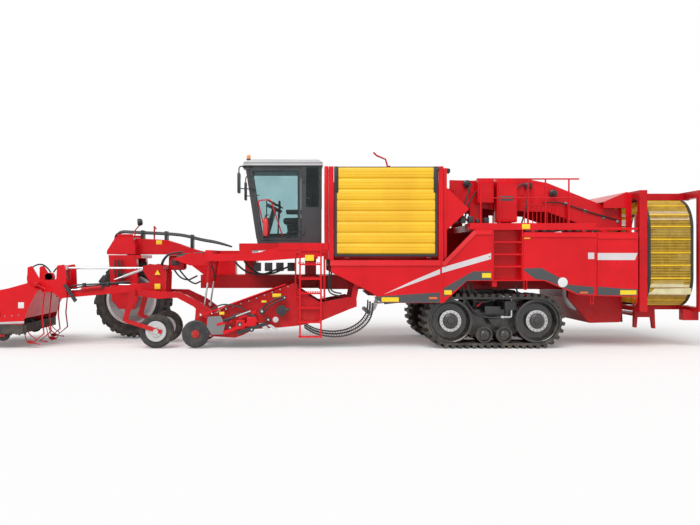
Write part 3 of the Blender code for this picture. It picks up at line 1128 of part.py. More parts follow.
def ring_elevator():
    half = HALF_WIDTH - 0.04
    band = 0.035
    outer = rounded_loop(half, RING_LOW, RING_TOP, RING_CORNER)
    inner = rounded_loop(half - band, RING_LOW + band, RING_TOP - band, RING_CORNER - band)
    node("ring_elevator_belt", "yellow_web",
         [slab([outer, inner], (RING_BELT_FRONT, RING_BELT_FRONT + RING_BELT_WIDTH), "X")])

    low, top = 0.755, 3.245
    pieces = []
    for x0, x1 in ((RING_FRONT, RING_FRONT + 0.16), (RING_REAR, RING_END)):
        for y in both_sides((-HALF_WIDTH, -HALF_WIDTH + 0.12)):
            pieces.append(box((x0, x1), y, (low, top)))
        pieces.append(box((x0, x1), (-HALF_WIDTH, HALF_WIDTH), (RING_TOP + 0.02, top)))
        pieces.append(box((x0, x1), (-HALF_WIDTH, HALF_WIDTH), (low, RING_LOW - 0.01)))
    for y in (-0.9, 0.9):
        pieces.append(box((RING_FRONT + 0.05, RING_END - 0.05), (y - 0.06, y + 0.06),
                          (RING_TOP + FIT, top - 0.02)))
        pieces.append(box((RING_FRONT + 0.05, RING_END - 0.05), (y - 0.06, y + 0.06),
                          (low + 0.01, RING_LOW - FIT)))
    pieces.append(box((FRAME_END + FIT, RING_FRONT + 0.02), (-RAIL_Y - 0.06, -RAIL_Y + 0.06),
                      (FRAME_LOW - 0.2, FRAME_TOP)))
    pieces.append(box((FRAME_END + FIT, RING_FRONT + 0.02), (RAIL_Y - 0.06, RAIL_Y + 0.06),
                      (FRAME_LOW - 0.2, FRAME_TOP)))
    for y in (-RAIL_Y, RAIL_Y):
        pieces.append(box((RING_FRONT, RING_FRONT + 0.06), (y - 0.06, y + 0.06),
                          (low + 0.01, RING_TOP + 0.05)))
    step = [(RING_FRONT + 0.18, low + 0.05), (RING_FRONT + 0.60, low + 0.05), (RING_FRONT + 0.62, 0.36),
            (RING_FRONT + 0.57, 0.36), (RING_FRONT + 0.54, 0.60), (RING_FRONT + 0.24, 0.60),
            (RING_FRONT + 0.22, 0.38), (RING_FRONT + 0.17, 0.38)]
    pieces += [plate(step, (y - 0.02, y + 0.02)) for y in (-0.94, -0.86, 0.86, 0.94)]
    pieces.append(box((RING_FRONT + 0.24, RING_FRONT + 0.54), (-0.95, 0.95), (0.61, 0.66)))
    for y in (-1.2, 1.2):
        pieces.append(box((RING_REAR - 0.16, RING_END - 0.02), (y - 0.1, y + 0.1), (0.56, low + 0.02)))
    node("ring_frame", "red_paint", pieces)

    pan = [(DECK_END - 0.38, FRAME_LOW - FIT), (FRAME_END - FIT, FRAME_LOW - FIT), (FRAME_END - FIT, 0.70),
           (FRAME_END - 0.05, 0.50), (DECK_END + 0.08, 0.484), (DECK_END - 0.38, 1.02)]
    node("belly_pan", "red_paint", [plate(pan, (-1.05, 1.05))],
         cuts=[box((DECK_END - 0.2, FRAME_END - 0.08), (-1.01, 1.01), (0.9, 1.3))])


def build():
    start_scene()
    main_frame()
    crawler_units()
    front_wheel()
    steering_fork()
    gooseneck()
    intake()
    lift_cylinders()
    topper()
    cab()
    cab_inside()
    platform()
    cab_ladder()
    bunker()
    unloading_conveyor()
    bunker_filler()
    side_panels()
    deck()
    transfer_conveyor()
    ring_elevator()


build()
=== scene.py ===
"""The looks of a self-propelled tracked potato harvester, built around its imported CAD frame.

Lengths are in metres. -X is the front, -Y the machine's left side and +Z is up.
"""

import math

import bpy
from mathutils import Matrix, Vector


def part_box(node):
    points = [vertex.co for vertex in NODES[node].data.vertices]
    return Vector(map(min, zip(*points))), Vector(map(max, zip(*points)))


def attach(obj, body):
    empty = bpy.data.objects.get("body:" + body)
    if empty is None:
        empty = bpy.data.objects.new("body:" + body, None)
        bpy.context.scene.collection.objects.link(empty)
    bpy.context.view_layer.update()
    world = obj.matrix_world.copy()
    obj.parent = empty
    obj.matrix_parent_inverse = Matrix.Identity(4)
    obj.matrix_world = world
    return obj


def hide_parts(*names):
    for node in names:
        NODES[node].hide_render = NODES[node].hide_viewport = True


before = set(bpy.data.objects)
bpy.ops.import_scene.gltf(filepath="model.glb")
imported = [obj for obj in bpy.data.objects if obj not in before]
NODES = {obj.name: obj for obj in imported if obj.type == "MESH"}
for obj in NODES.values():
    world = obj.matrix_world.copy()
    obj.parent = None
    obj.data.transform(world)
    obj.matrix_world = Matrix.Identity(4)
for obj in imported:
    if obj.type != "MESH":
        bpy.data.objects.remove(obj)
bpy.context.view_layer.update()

LEFT_SKIN = -1.65
FRONT_WHEEL_R = 0.905
FRONT_HUB = (-4.60, 0.85, FRONT_WHEEL_R)
TRACK_WHEEL_X = (2.378, 4.157)
TRACK_WHEEL_Z = 0.561
ROLLER_X = (3.068, 3.478)
ROLLER_Z = 0.280
RIGHT_SKIN = 1.65
DECAL = 0.003

# ---------------------------------------------------------------- mesh helpers


def deselect():
    bpy.ops.object.select_all(action="DESELECT")


def select_only(pieces):
    deselect()
    for piece in pieces:
        piece.select_set(True)
    bpy.context.view_layer.objects.active = pieces[0]


def settled(piece):
    """Moves the piece's place and turn into its mesh."""
    select_only([piece])
    bpy.ops.object.transform_apply(location=True, rotation=True, scale=True)
    return piece


def applied(piece, kind, **values):
    """Adds one modifier with these values and applies it."""
    select_only([piece])
    modifier = piece.modifiers.new(kind.title(), kind)
    for key, value in values.items():
        setattr(modifier, key, value)
    bpy.ops.object.modifier_apply(modifier=modifier.name)
    return piece


def rounded(piece, width, segments=2):
    if not width:
        return piece
    return applied(piece, "BEVEL", width=width, segments=segments, limit_method="ANGLE", angle_limit=0.6)


def block(low, high, edge=0.004):
    """A box between two corners with rounded edges."""
    low, high = Vector(low), Vector(high)
    deselect()
    bpy.ops.mesh.primitive_cube_add(size=1.0, location=(low + high) / 2)
    piece = bpy.context.active_object
    piece.scale = high - low
    return rounded(settled(piece), edge)


def bar(start, end, radius, sides=16, edge=0.0):
    """A round bar between two points."""
    start, end = Vector(start), Vector(end)
    run = end - start
    deselect()
    bpy.ops.mesh.primitive_cylinder_add(vertices=sides, radius=radius, depth=run.length,
                                        location=(start + end) / 2)
    piece = bpy.context.active_object
    piece.rotation_euler = run.to_track_quat("Z", "Y").to_euler()
    return rounded(settled(piece), edge)


def sheet_metal(outline, near, far, across="Y", edge=0.002):
    """A flat outline, given as two coordinates a point, drawn out from near to far along the third axis."""
    places = {
        "X": lambda a, b, c: (c, a, b),
        "Y": lambda a, b, c: (a, c, b),
        "Z": lambda a, b, c: (a, b, c),
    }[across]
    deselect()
    bpy.ops.mesh.primitive_circle_add(vertices=len(outline), fill_type="NGON")
    piece = bpy.context.active_object
    for vertex, (a, b) in zip(piece.data.vertices, outline):
        vertex.co = places(a, b, near)
    step = Vector(places(0, 0, far)) - Vector(places(0, 0, near))
    bpy.ops.object.mode_set(mode="EDIT")
    bpy.ops.mesh.select_all(action="SELECT")
    bpy.ops.mesh.extrude_region_move(TRANSFORM_OT_translate={"value": step})
    bpy.ops.mesh.select_all(action="SELECT")
    bpy.ops.mesh.normals_make_consistent(inside=False)
    bpy.ops.object.mode_set(mode="OBJECT")
    return rounded(settled(piece), edge, segments=1)


def turned(profile, centre, axis=(0, 1, 0), steps=32, edge=0.0):
    """A turned part: the profile is (radius, distance along the axis) from one end to the other.

    A profile that comes back to its first point makes a ring, open in the middle.
    """
    deselect()
    first_radius, first_place = profile[0]
    is_ring = profile[0] == profile[-1]
    bpy.ops.mesh.primitive_circle_add(vertices=steps, radius=first_radius, location=(0, 0, first_place))
    piece = settled(bpy.context.active_object)
    bpy.ops.object.mode_set(mode="EDIT")
    bpy.ops.mesh.select_all(action="SELECT")
    if not is_ring:
        bpy.ops.mesh.edge_face_add()
    bpy.ops.mesh.select_mode(type="VERT")
    for (radius, place), (next_radius, next_place) in zip(profile, profile[1:]):
        bpy.ops.mesh.extrude_region_move(TRANSFORM_OT_translate={"value": (0, 0, next_place - place)})
        share = next_radius / radius
        bpy.ops.transform.resize(value=(share, share, 1), center_override=(0, 0, next_place))
    bpy.ops.mesh.select_all(action="SELECT")
    if is_ring:
        bpy.ops.mesh.remove_doubles(threshold=0.0001)
    bpy.ops.mesh.normals_make_consistent(inside=False)
    bpy.ops.object.mode_set(mode="OBJECT")
    piece.rotation_euler = Vector(axis).to_track_quat("Z", "Y").to_euler()
    piece.location = centre
    return rounded(settled(piece), edge)


def pipe(points, radius, sides=4):
    """A pipe that bends smoothly through its points."""
    deselect()
    bpy.ops.curve.primitive_nurbs_path_add()
    path = bpy.context.active_object
    spline = path.data.splines[0]
    spline.points.add(max(0, len(points) - len(spline.points)))
    while len(spline.points) > len(points):
        points = points[:-1] + [tuple((Vector(points[-2]) + Vector(points[-1])) / 2)] + points[-1:]
    for place, point in zip(spline.points, points):
        place.co = (*point, 1.0)
    spline.order_u = 3
    spline.use_endpoint_u = True
    spline.resolution_u = 5
    path.data.bevel_depth = radius
    path.data.bevel_resolution = sides // 2
    path.data.use_fill_caps = True
    bpy.ops.object.convert(target="MESH")
    return settled(bpy.context.active_object)


def bent_tube(points, radius, bend=0.03, sides=12):
    """A tube with short bends at its corners."""
    route = [Vector(points[0])]
    for before, corner, after in zip(points, points[1:], points[2:]):
        corner = Vector(corner)
        back = (Vector(before) - corner).normalized()
        ahead = (Vector(after) - corner).normalized()
        route += [corner + back * bend, corner + (back + ahead) * bend * 0.3, corner + ahead * bend]
    route.append(Vector(points[-1]))
    deselect()
    bpy.ops.curve.primitive_bezier_curve_add()
    path = bpy.context.active_object
    path.data.splines.clear()
    spline = path.data.splines.new("POLY")
    spline.points.add(len(route) - 1)
    for place, point in zip(spline.points, route):
        place.co = (*point, 1.0)
    path.location = (0, 0, 0)
    path.data.bevel_depth = radius
    path.data.bevel_resolution = max(0, sides // 4 - 1)
    path.data.use_fill_caps = True
    bpy.ops.object.convert(target="MESH")
    return settled(bpy.context.active_object)


def copies(piece, moves):
    """One copy of the piece, with its own mesh, for each matrix; the piece itself is removed."""
    made = []
    for move in moves:
        copy = piece.copy()
        copy.data = piece.data.copy()
        copy.data.transform(move)
        bpy.context.scene.collection.objects.link(copy)
        made.append(copy)
    bpy.data.objects.remove(piece)
    return made


def shifted(piece, places):
    return copies(piece, [Matrix.Translation(place) for place in places])


def spun(piece, centre, count, axis="Y"):
    """Copies spaced evenly round an axis through the centre."""
    there = Matrix.Translation(centre)
    back = Matrix.Translation(-Vector(centre))
    turns = [Matrix.Rotation(2 * math.pi * i / count, 4, axis) for i in range(count)]
    return copies(piece, [there @ turn @ back for turn in turns])


def across_machine(pieces):
    """The pieces and their mirror images on the machine's other side."""
    made = []
    for piece in pieces:
        copy = piece.copy()
        copy.data = piece.data.copy()
        copy.data.transform(Matrix.Scale(-1, 4, (0, 1, 0)))
        copy.data.flip_normals()
        bpy.context.scene.collection.objects.link(copy)
        made.append(copy)
    return pieces + made


def piece_of(name, body, dressed, smooth=0.6, replaces=()):
    """Joins pieces into one named object that moves with the body. dressed is [(material, [pieces]), ...]."""
    every = []
    for finish, pieces in dressed:
        for piece in pieces:
            piece.data.materials.clear()
            piece.data.materials.append(finish)
            every.append(piece)
    select_only(every)
    if len(every) > 1:
        bpy.ops.object.join()
    whole = bpy.context.active_object
    whole.name = name
    whole.data.name = name
    select_only([whole])
    bpy.ops.object.shade_smooth_by_angle(angle=smooth)
    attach(whole, body)
    if replaces:
        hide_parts(*replaces)
    return whole


# ---------------------------------------------------------------- node groups


def new_group(name, inputs, outputs):
    """A shader node group with these sockets. inputs are (name, kind, value)."""
    group = bpy.data.node_groups.new(name, "ShaderNodeTree")
    for socket_name, kind, value in inputs:
        socket = group.interface.new_socket(socket_name, in_out="INPUT", socket_type=kind)
        socket.default_value = value
    for socket_name, kind in outputs:
        group.interface.new_socket(socket_name, in_out="OUTPUT", socket_type=kind)
    entry = group.nodes.new("NodeGroupInput")
    leaving = group.nodes.new("NodeGroupOutput")
    return group, entry, leaving


def object_noise(group, scale_socket, detail, stretch=(1, 1, 1)):
    """Noise on Object coordinates, with its scale from a group input."""
    coordinates = group.nodes.new("ShaderNodeTexCoord")
    mapping = group.nodes.new("ShaderNodeMapping")
    mapping.inputs["Scale"].default_value = stretch
    noise = group.nodes.new("ShaderNodeTexNoise")
    noise.inputs["Detail"].default_value = detail
    group.links.new(coordinates.outputs["Object"], mapping.inputs["Vector"])
    group.links.new(mapping.outputs["Vector"], noise.inputs["Vector"])
    group.links.new(scale_socket, noise.inputs["Scale"])
    return noise


def ranged(group, value, low, high, to_low, to_high):
    node = group.nodes.new("ShaderNodeMapRange")
    node.inputs["From Min"].default_value = low
    node.inputs["From Max"].default_value = high
    node.inputs["To Min"].default_value = to_low
    node.inputs["To Max"].default_value = to_high
    group.links.new(value, node.inputs["Value"])
    return node.outputs["Result"]


def mixed(group, factor, first, second, blend="MIX"):
    node = group.nodes.new("ShaderNodeMix")
    node.data_type = "RGBA"
    node.blend_type = blend
    group.links.new(factor, node.inputs[0])
    group.links.new(first, node.inputs[6])
    group.links.new(second, node.inputs[7])
    return node.outputs[2]


def shade_variation():
    """A colour that wanders a little from place to place, and a roughness that wanders with it."""
    group, entry, leaving = new_group(
        "shade_variation",
        [
            ("Color", "NodeSocketColor", (0.8, 0.8, 0.8, 1)),
            ("Deep Color", "NodeSocketColor", (0.6, 0.6, 0.6, 1)),
            ("Scale", "NodeSocketFloat", 2.0),
            ("Roughness", "NodeSocketFloat", 0.4),
        ],
        [("Color", "NodeSocketColor"), ("Roughness", "NodeSocketFloat")],
    )
    noise = object_noise(group, entry.outputs["Scale"], 4.0)
    mask = ranged(group, noise.outputs["Fac"], 0.35, 0.75, 0.0, 1.0)
    colour = mixed(group, mask, entry.outputs["Color"], entry.outputs["Deep Color"])
    swing = ranged(group, noise.outputs["Fac"], 0.3, 0.7, 0.88, 1.15)
    product = group.nodes.new("ShaderNodeMath")
    product.operation = "MULTIPLY"
    group.links.new(entry.outputs["Roughness"], product.inputs[0])
    group.links.new(swing, product.inputs[1])
    group.links.new(colour, leaving.inputs["Color"])
    group.links.new(product.outputs[0], leaving.inputs["Roughness"])
    return group


def field_dust():
    """Pale soil dust that settles low on the machine and thins out upwards."""
    group, entry, leaving = new_group(
        "field_dust",
        [
            ("Color", "NodeSocketColor", (0.8, 0.8, 0.8, 1)),
            ("Dust Color", "NodeSocketColor", (0.30, 0.24, 0.17, 1)),
            ("Top", "NodeSocketFloat", 1.2),
            ("Amount", "NodeSocketFloat", 0.3),
        ],
        [("Color", "NodeSocketColor"), ("Mask", "NodeSocketFloat")],
    )
    coordinates = group.nodes.new("ShaderNodeTexCoord")
    parts = group.nodes.new("ShaderNodeSeparateXYZ")
    group.links.new(coordinates.outputs["Object"], parts.inputs[0])
    height = group.nodes.new("ShaderNodeMapRange")
    height.inputs["From Min"].default_value = 0.0
    height.inputs["To Min"].default_value = 1.0
    height.inputs["To Max"].default_value = 0.0
    group.links.new(parts.outputs["Z"], height.inputs["Value"])
    group.links.new(entry.outputs["Top"], height.inputs["From Max"])
    patch = group.nodes.new("ShaderNodeTexNoise")
    patch.inputs["Scale"].default_value = 7.0
    patch.inputs["Detail"].default_value = 6.0
    group.links.new(coordinates.outputs["Object"], patch.inputs["Vector"])
    spread = ranged(group, patch.outputs["Fac"], 0.4, 0.7, 0.0, 1.0)
    low = group.nodes.new("ShaderNodeMath")
    low.operation = "MULTIPLY"
    group.links.new(height.outputs["Result"], low.inputs[0])
    group.links.new(spread, low.inputs[1])
    mask = group.nodes.new("ShaderNodeMath")
    mask.operation = "MULTIPLY"
    group.links.new(low.outputs[0], mask.inputs[0])
    group.links.new(entry.outputs["Amount"], mask.inputs[1])
    colour = mixed(group, mask.outputs[0], entry.outputs["Color"], entry.outputs["Dust Color"])
    group.links.new(colour, leaving.inputs["Color"])
    group.links.new(mask.outputs[0], leaving.inputs["Mask"])
    return group


def surface_grain():
    """A height for a Bump node: fine grain, stretched one way where brushing or moulding leaves it so."""
    group, entry, leaving = new_group(
        "surface_grain",
        [
            ("Scale", "NodeSocketFloat", 200.0),
            ("Stretch", "NodeSocketVector", (1, 1, 1)),
        ],
        [("Height", "NodeSocketFloat")],
    )
    coordinates = group.nodes.new("ShaderNodeTexCoord")
    mapping = group.nodes.new("ShaderNodeMapping")
    noise = group.nodes.new("ShaderNodeTexNoise")
    noise.inputs["Detail"].default_value = 3.0
    group.links.new(coordinates.outputs["Object"], mapping.inputs["Vector"])
    group.links.new(entry.outputs["Stretch"], mapping.inputs["Scale"])
    group.links.new(mapping.outputs["Vector"], noise.inputs["Vector"])
    group.links.new(entry.outputs["Scale"], noise.inputs["Scale"])
    group.links.new(noise.outputs["Fac"], leaving.inputs["Height"])
    return group


SHADE = shade_variation()
DUST = field_dust()
GRAIN = surface_grain()


def opaque(rgb):
    return (*rgb, 1.0)


def surface(name, color, deep, rough, **extra):
    """A material whose colour and roughness wander, with dust low down and a fine grain.

    extra: metallic, coat, coat_rough, scale, grain, stretch, bump, dust, dust_top, sheen, specular.
    """
    material = bpy.data.materials.new(name)
    material.use_nodes = True
    tree = material.node_tree
    shader = tree.nodes["Principled BSDF"]
    shade = tree.nodes.new("ShaderNodeGroup")
    shade.node_tree = SHADE
    shade.inputs["Color"].default_value = opaque(color)
    shade.inputs["Deep Color"].default_value = opaque(deep)
    shade.inputs["Scale"].default_value = extra.get("scale", 1.5)
    shade.inputs["Roughness"].default_value = rough
    dust = tree.nodes.new("ShaderNodeGroup")
    dust.node_tree = DUST
    dust.inputs["Top"].default_value = extra.get("dust_top", 1.0)
    dust.inputs["Amount"].default_value = extra.get("dust", 0.15)
    grain = tree.nodes.new("ShaderNodeGroup")
    grain.node_tree = GRAIN
    grain.inputs["Scale"].default_value = extra.get("grain", 180.0)
    grain.inputs["Stretch"].default_value = extra.get("stretch", (1, 1, 1))
    bump = tree.nodes.new("ShaderNodeBump")
    bump.inputs["Strength"].default_value = extra.get("bump", 0.05)
    bump.inputs["Distance"].default_value = 0.002
    tree.links.new(shade.outputs["Color"], dust.inputs["Color"])
    tree.links.new(dust.outputs["Color"], shader.inputs["Base Color"])
    tree.links.new(shade.outputs["Roughness"], shader.inputs["Roughness"])
    tree.links.new(grain.outputs["Height"], bump.inputs["Height"])
    tree.links.new(bump.outputs["Normal"], shader.inputs["Normal"])
    shader.inputs["Metallic"].default_value = extra.get("metallic", 0.0)
    shader.inputs["Coat Weight"].default_value = extra.get("coat", 0.0)
    shader.inputs["Coat Roughness"].default_value = extra.get("coat_rough", 0.08)
    shader.inputs["Sheen Weight"].default_value = extra.get("sheen", 0.0)
    shader.inputs["Specular IOR Level"].default_value = extra.get("specular", 0.5)
    return material


def glass_pane():
    material = bpy.data.materials.new("tinted_glass")
    material.use_nodes = True
    tree = material.node_tree
    shader = tree.nodes["Principled BSDF"]
    streaks = tree.nodes.new("ShaderNodeGroup")
    streaks.node_tree = SHADE
    streaks.inputs["Color"].default_value = (0.55, 0.70, 0.71, 1)
    streaks.inputs["Deep Color"].default_value = (0.47, 0.63, 0.65, 1)
    streaks.inputs["Roughness"].default_value = 0.03
    tree.links.new(streaks.outputs["Color"], shader.inputs["Base Color"])
    tree.links.new(streaks.outputs["Roughness"], shader.inputs["Roughness"])
    shader.inputs["Transmission Weight"].default_value = 1.0
    shader.inputs["IOR"].default_value = 1.05
    shader.inputs["Coat Weight"].default_value = 0.35
    return material


def lamp_lens(name, color, glow):
    material = surface(name, color, [c * 0.8 for c in color], 0.15, coat=0.8, grain=90.0, bump=0.3)
    shader = material.node_tree.nodes["Principled BSDF"]
    shader.inputs["Emission Color"].default_value = opaque(color)
    shader.inputs["Emission Strength"].default_value = glow
    return material


def hatched_silver():
    """Silver stripe film crossed all over by fine slanted faint red lines."""
    material = surface("stripe_silver", (0.72, 0.72, 0.73), (0.62, 0.62, 0.64), 0.3, coat=0.3, bump=0.02)
    tree = material.node_tree
    shader = tree.nodes["Principled BSDF"]
    coordinates = tree.nodes.new("ShaderNodeTexCoord")
    slant = tree.nodes.new("ShaderNodeMapping")
    slant.inputs["Rotation"].default_value = (0, math.radians(48), 0)
    lines = tree.nodes.new("ShaderNodeTexWave")
    lines.inputs["Scale"].default_value = 11.0
    gaps = tree.nodes.new("ShaderNodeMapRange")
    gaps.inputs["From Min"].default_value = 0.70
    gaps.inputs["From Max"].default_value = 0.82
    gaps.inputs["To Max"].default_value = 0.22
    base = shader.inputs["Base Color"].links[0].from_socket
    tree.links.new(coordinates.outputs["Object"], slant.inputs["Vector"])
    tree.links.new(slant.outputs["Vector"], lines.inputs["Vector"])
    tree.links.new(lines.outputs["Fac"], gaps.inputs["Value"])
    red = tree.nodes.new("ShaderNodeRGB")
    red.outputs[0].default_value = (0.60, 0.02, 0.03, 1)
    tree.links.new(mixed(tree, gaps.outputs["Result"], base, red.outputs[0]), shader.inputs["Base Color"])
    return material


RED = surface("red_gloss", (0.74, 0.006, 0.014), (0.58, 0.004, 0.009), 0.30, coat=0.12, specular=0.22,
              bump=0.03, dust=0.06)
RED_FRAME = surface("red_frame", (0.60, 0.006, 0.012), (0.42, 0.004, 0.008), 0.38, coat=0.1, specular=0.22,
                    bump=0.06, dust=0.2)
YELLOW = surface("yellow_enamel", (0.93, 0.56, 0.010), (0.84, 0.46, 0.006), 0.38, coat=0.25, bump=0.05,
                 dust=0.0)
# Dark golden brown for the sheets behind the ring web: painted shade for the shaded inside of the ring.
WEB_BACKING_PAINTED_SHADE = surface("web_backing_painted_shade", (0.34, 0.20, 0.016), (0.20, 0.11, 0.010), 0.6, scale=7.0, dust=0.0)
WEB_YELLOW = surface("web_yellow", (0.62, 0.40, 0.030), (0.42, 0.25, 0.015), 0.42, coat=0.15, scale=9.0,
                     dust=0.0)
FLIGHT_YELLOW = surface("flight_yellow", (0.92, 0.60, 0.012), (0.80, 0.48, 0.008), 0.40, coat=0.2, scale=6.0,
                        dust=0.0)
CREAM = surface("cream_rubber", (0.72, 0.66, 0.40), (0.58, 0.50, 0.26), 0.6, scale=6.0, bump=0.12, dust=0.0)
RUBBER = surface("tyre_rubber", (0.022, 0.022, 0.023), (0.040, 0.038, 0.036), 0.72, grain=120.0, bump=0.25,
                 dust=0.35, dust_top=1.3)
DARK = surface("dark_steel", (0.045, 0.046, 0.050), (0.028, 0.028, 0.030), 0.42, metallic=0.3, bump=0.10,
               dust=0.25)
GREY_STEEL = surface("grey_steel", (0.28, 0.28, 0.29), (0.20, 0.20, 0.21), 0.36, metallic=0.8, grain=90.0,
                     stretch=(1, 8, 1), bump=0.10)
BRIGHT = surface("bright_steel", (0.70, 0.70, 0.71), (0.58, 0.58, 0.60), 0.22, metallic=1.0,
                 stretch=(1, 1, 12), bump=0.06)
RIM = surface("rim_paint", (0.60, 0.61, 0.62), (0.52, 0.53, 0.54), 0.35, coat=0.3, bump=0.04, dust=0.35)
ROOF = surface("roof_moulding", (0.62, 0.63, 0.64), (0.56, 0.57, 0.58), 0.40, coat=0.15, grain=260.0,
               bump=0.08)
TRIM = surface("cab_trim", (0.045, 0.047, 0.052), (0.032, 0.033, 0.037), 0.48, grain=300.0, bump=0.12)
PLASTIC = surface("black_plastic", (0.020, 0.020, 0.022), (0.030, 0.030, 0.032), 0.40, grain=320.0, bump=0.15)
HOSE = surface("hose_rubber", (0.018, 0.018, 0.019), (0.030, 0.029, 0.028), 0.5, grain=400.0, bump=0.10)
SEAT = surface("seat_cloth", (0.050, 0.052, 0.058), (0.030, 0.031, 0.035), 0.85, grain=500.0, bump=0.5,
               sheen=0.4)
BLACK_GLOSS = surface("wheel_black", (0.016, 0.016, 0.017), (0.024, 0.024, 0.025), 0.22, coat=0.7, bump=0.03,
                      dust=0.25)
BLACK_NET = surface("mesh_steel", (0.34, 0.33, 0.30), (0.22, 0.21, 0.19), 0.45, metallic=0.6, bump=0.1)
CAST = surface("engine_cast", (0.20, 0.21, 0.22), (0.14, 0.14, 0.15), 0.55, metallic=0.4, bump=0.3)
SILVER = hatched_silver()
CHARCOAL = surface("stripe_charcoal", (0.062, 0.064, 0.070), (0.052, 0.053, 0.058), 0.34, coat=0.3, bump=0.02)
LABEL = surface("label_yellow", (0.93, 0.66, 0.015), (0.88, 0.60, 0.012), 0.4, coat=0.2, bump=0.02)
LABEL_WHITE = surface("label_white", (0.80, 0.80, 0.79), (0.74, 0.74, 0.73), 0.4, coat=0.2, bump=0.02)
AMBER = lamp_lens("amber_lens", (0.90, 0.22, 0.01), 0.25)
LENS = lamp_lens("lamp_lens", (0.80, 0.82, 0.84), 0.15)
REFLECTOR = surface("reflector_orange", (0.88, 0.16, 0.015), (0.80, 0.12, 0.010), 0.2, coat=0.8, grain=60.0,
                    bump=0.3)
EXTINGUISHER = surface("extinguisher_red", (0.72, 0.010, 0.014), (0.62, 0.008, 0.010), 0.25, coat=0.8)
GLASS = glass_pane()

NODE_FINISH = [
    (RED, ["gooseneck", "steering_fork", "cab_platform", "cab_ladder", "bunker_shell", "bunker_filler",
           "bunker_skirt_left", "shoulder_panel_left", "side_panel_right", "ladder_alcove",
           "side_door_left", "side_door_right", "rear_door_left", "rear_door_right",
           "platform_deck", "transfer_conveyor", "discharge_hood", "topper_housing", "topper_lift_arms"]),
    (RED_FRAME, ["main_frame", "intake_frame", "ring_frame", "belly_pan", "lift_barrel_left",
                 "lift_barrel_right"]),
    (YELLOW, ["conveyor_slats"]),
    (WEB_YELLOW, ["ring_elevator_belt"]),
    (BLACK_GLOSS, ["track_gear_left", "track_gear_right"]),
    (DARK, ["rear_axle_beam", "intake_web", "topper_rotor",
            "unloading_conveyor", "coulter_left"]),
    (RED_FRAME, ["coulter_right"]),
    (RUBBER, ["track_belt_left", "track_belt_right", "front_tyre", "depth_wheel_left", "depth_wheel_right",
              "topper_curtain", "topper_wheel_left", "topper_wheel_right"]),
    (RIM, ["front_rim"]),
    (BRIGHT, ["lift_rod_left", "lift_rod_right", "topper_top_link", "digging_shares"]),
    (ROOF, ["cab_roof"]),
    (TRIM, ["cab_shell", "cab_door", "steering_console"]),
    (GLASS, ["windscreen", "cab_window_left", "cab_window_right", "cab_window_rear", "cab_door_glass"]),
    (SEAT, ["driver_seat"]),
    (CAST, ["engine_block"]),
]


def dress_frame():
    """Gives every CAD node its material and softens its edges for the light."""
    for finish, names in NODE_FINISH:
        for name in names:
            node = NODES[name]
            node.data.materials.clear()
            node.data.materials.append(finish)
            weld = node.modifiers.new("Weld", "WELD")
            weld.merge_threshold = 0.0002
            if finish is GLASS:
                continue
            bevel = node.modifiers.new("Bevel", "BEVEL")
            bevel.width = 0.004
            bevel.segments = 1
            bevel.limit_method = "ANGLE"
            bevel.angle_limit = 0.7


# ---------------------------------------------------------------- stage


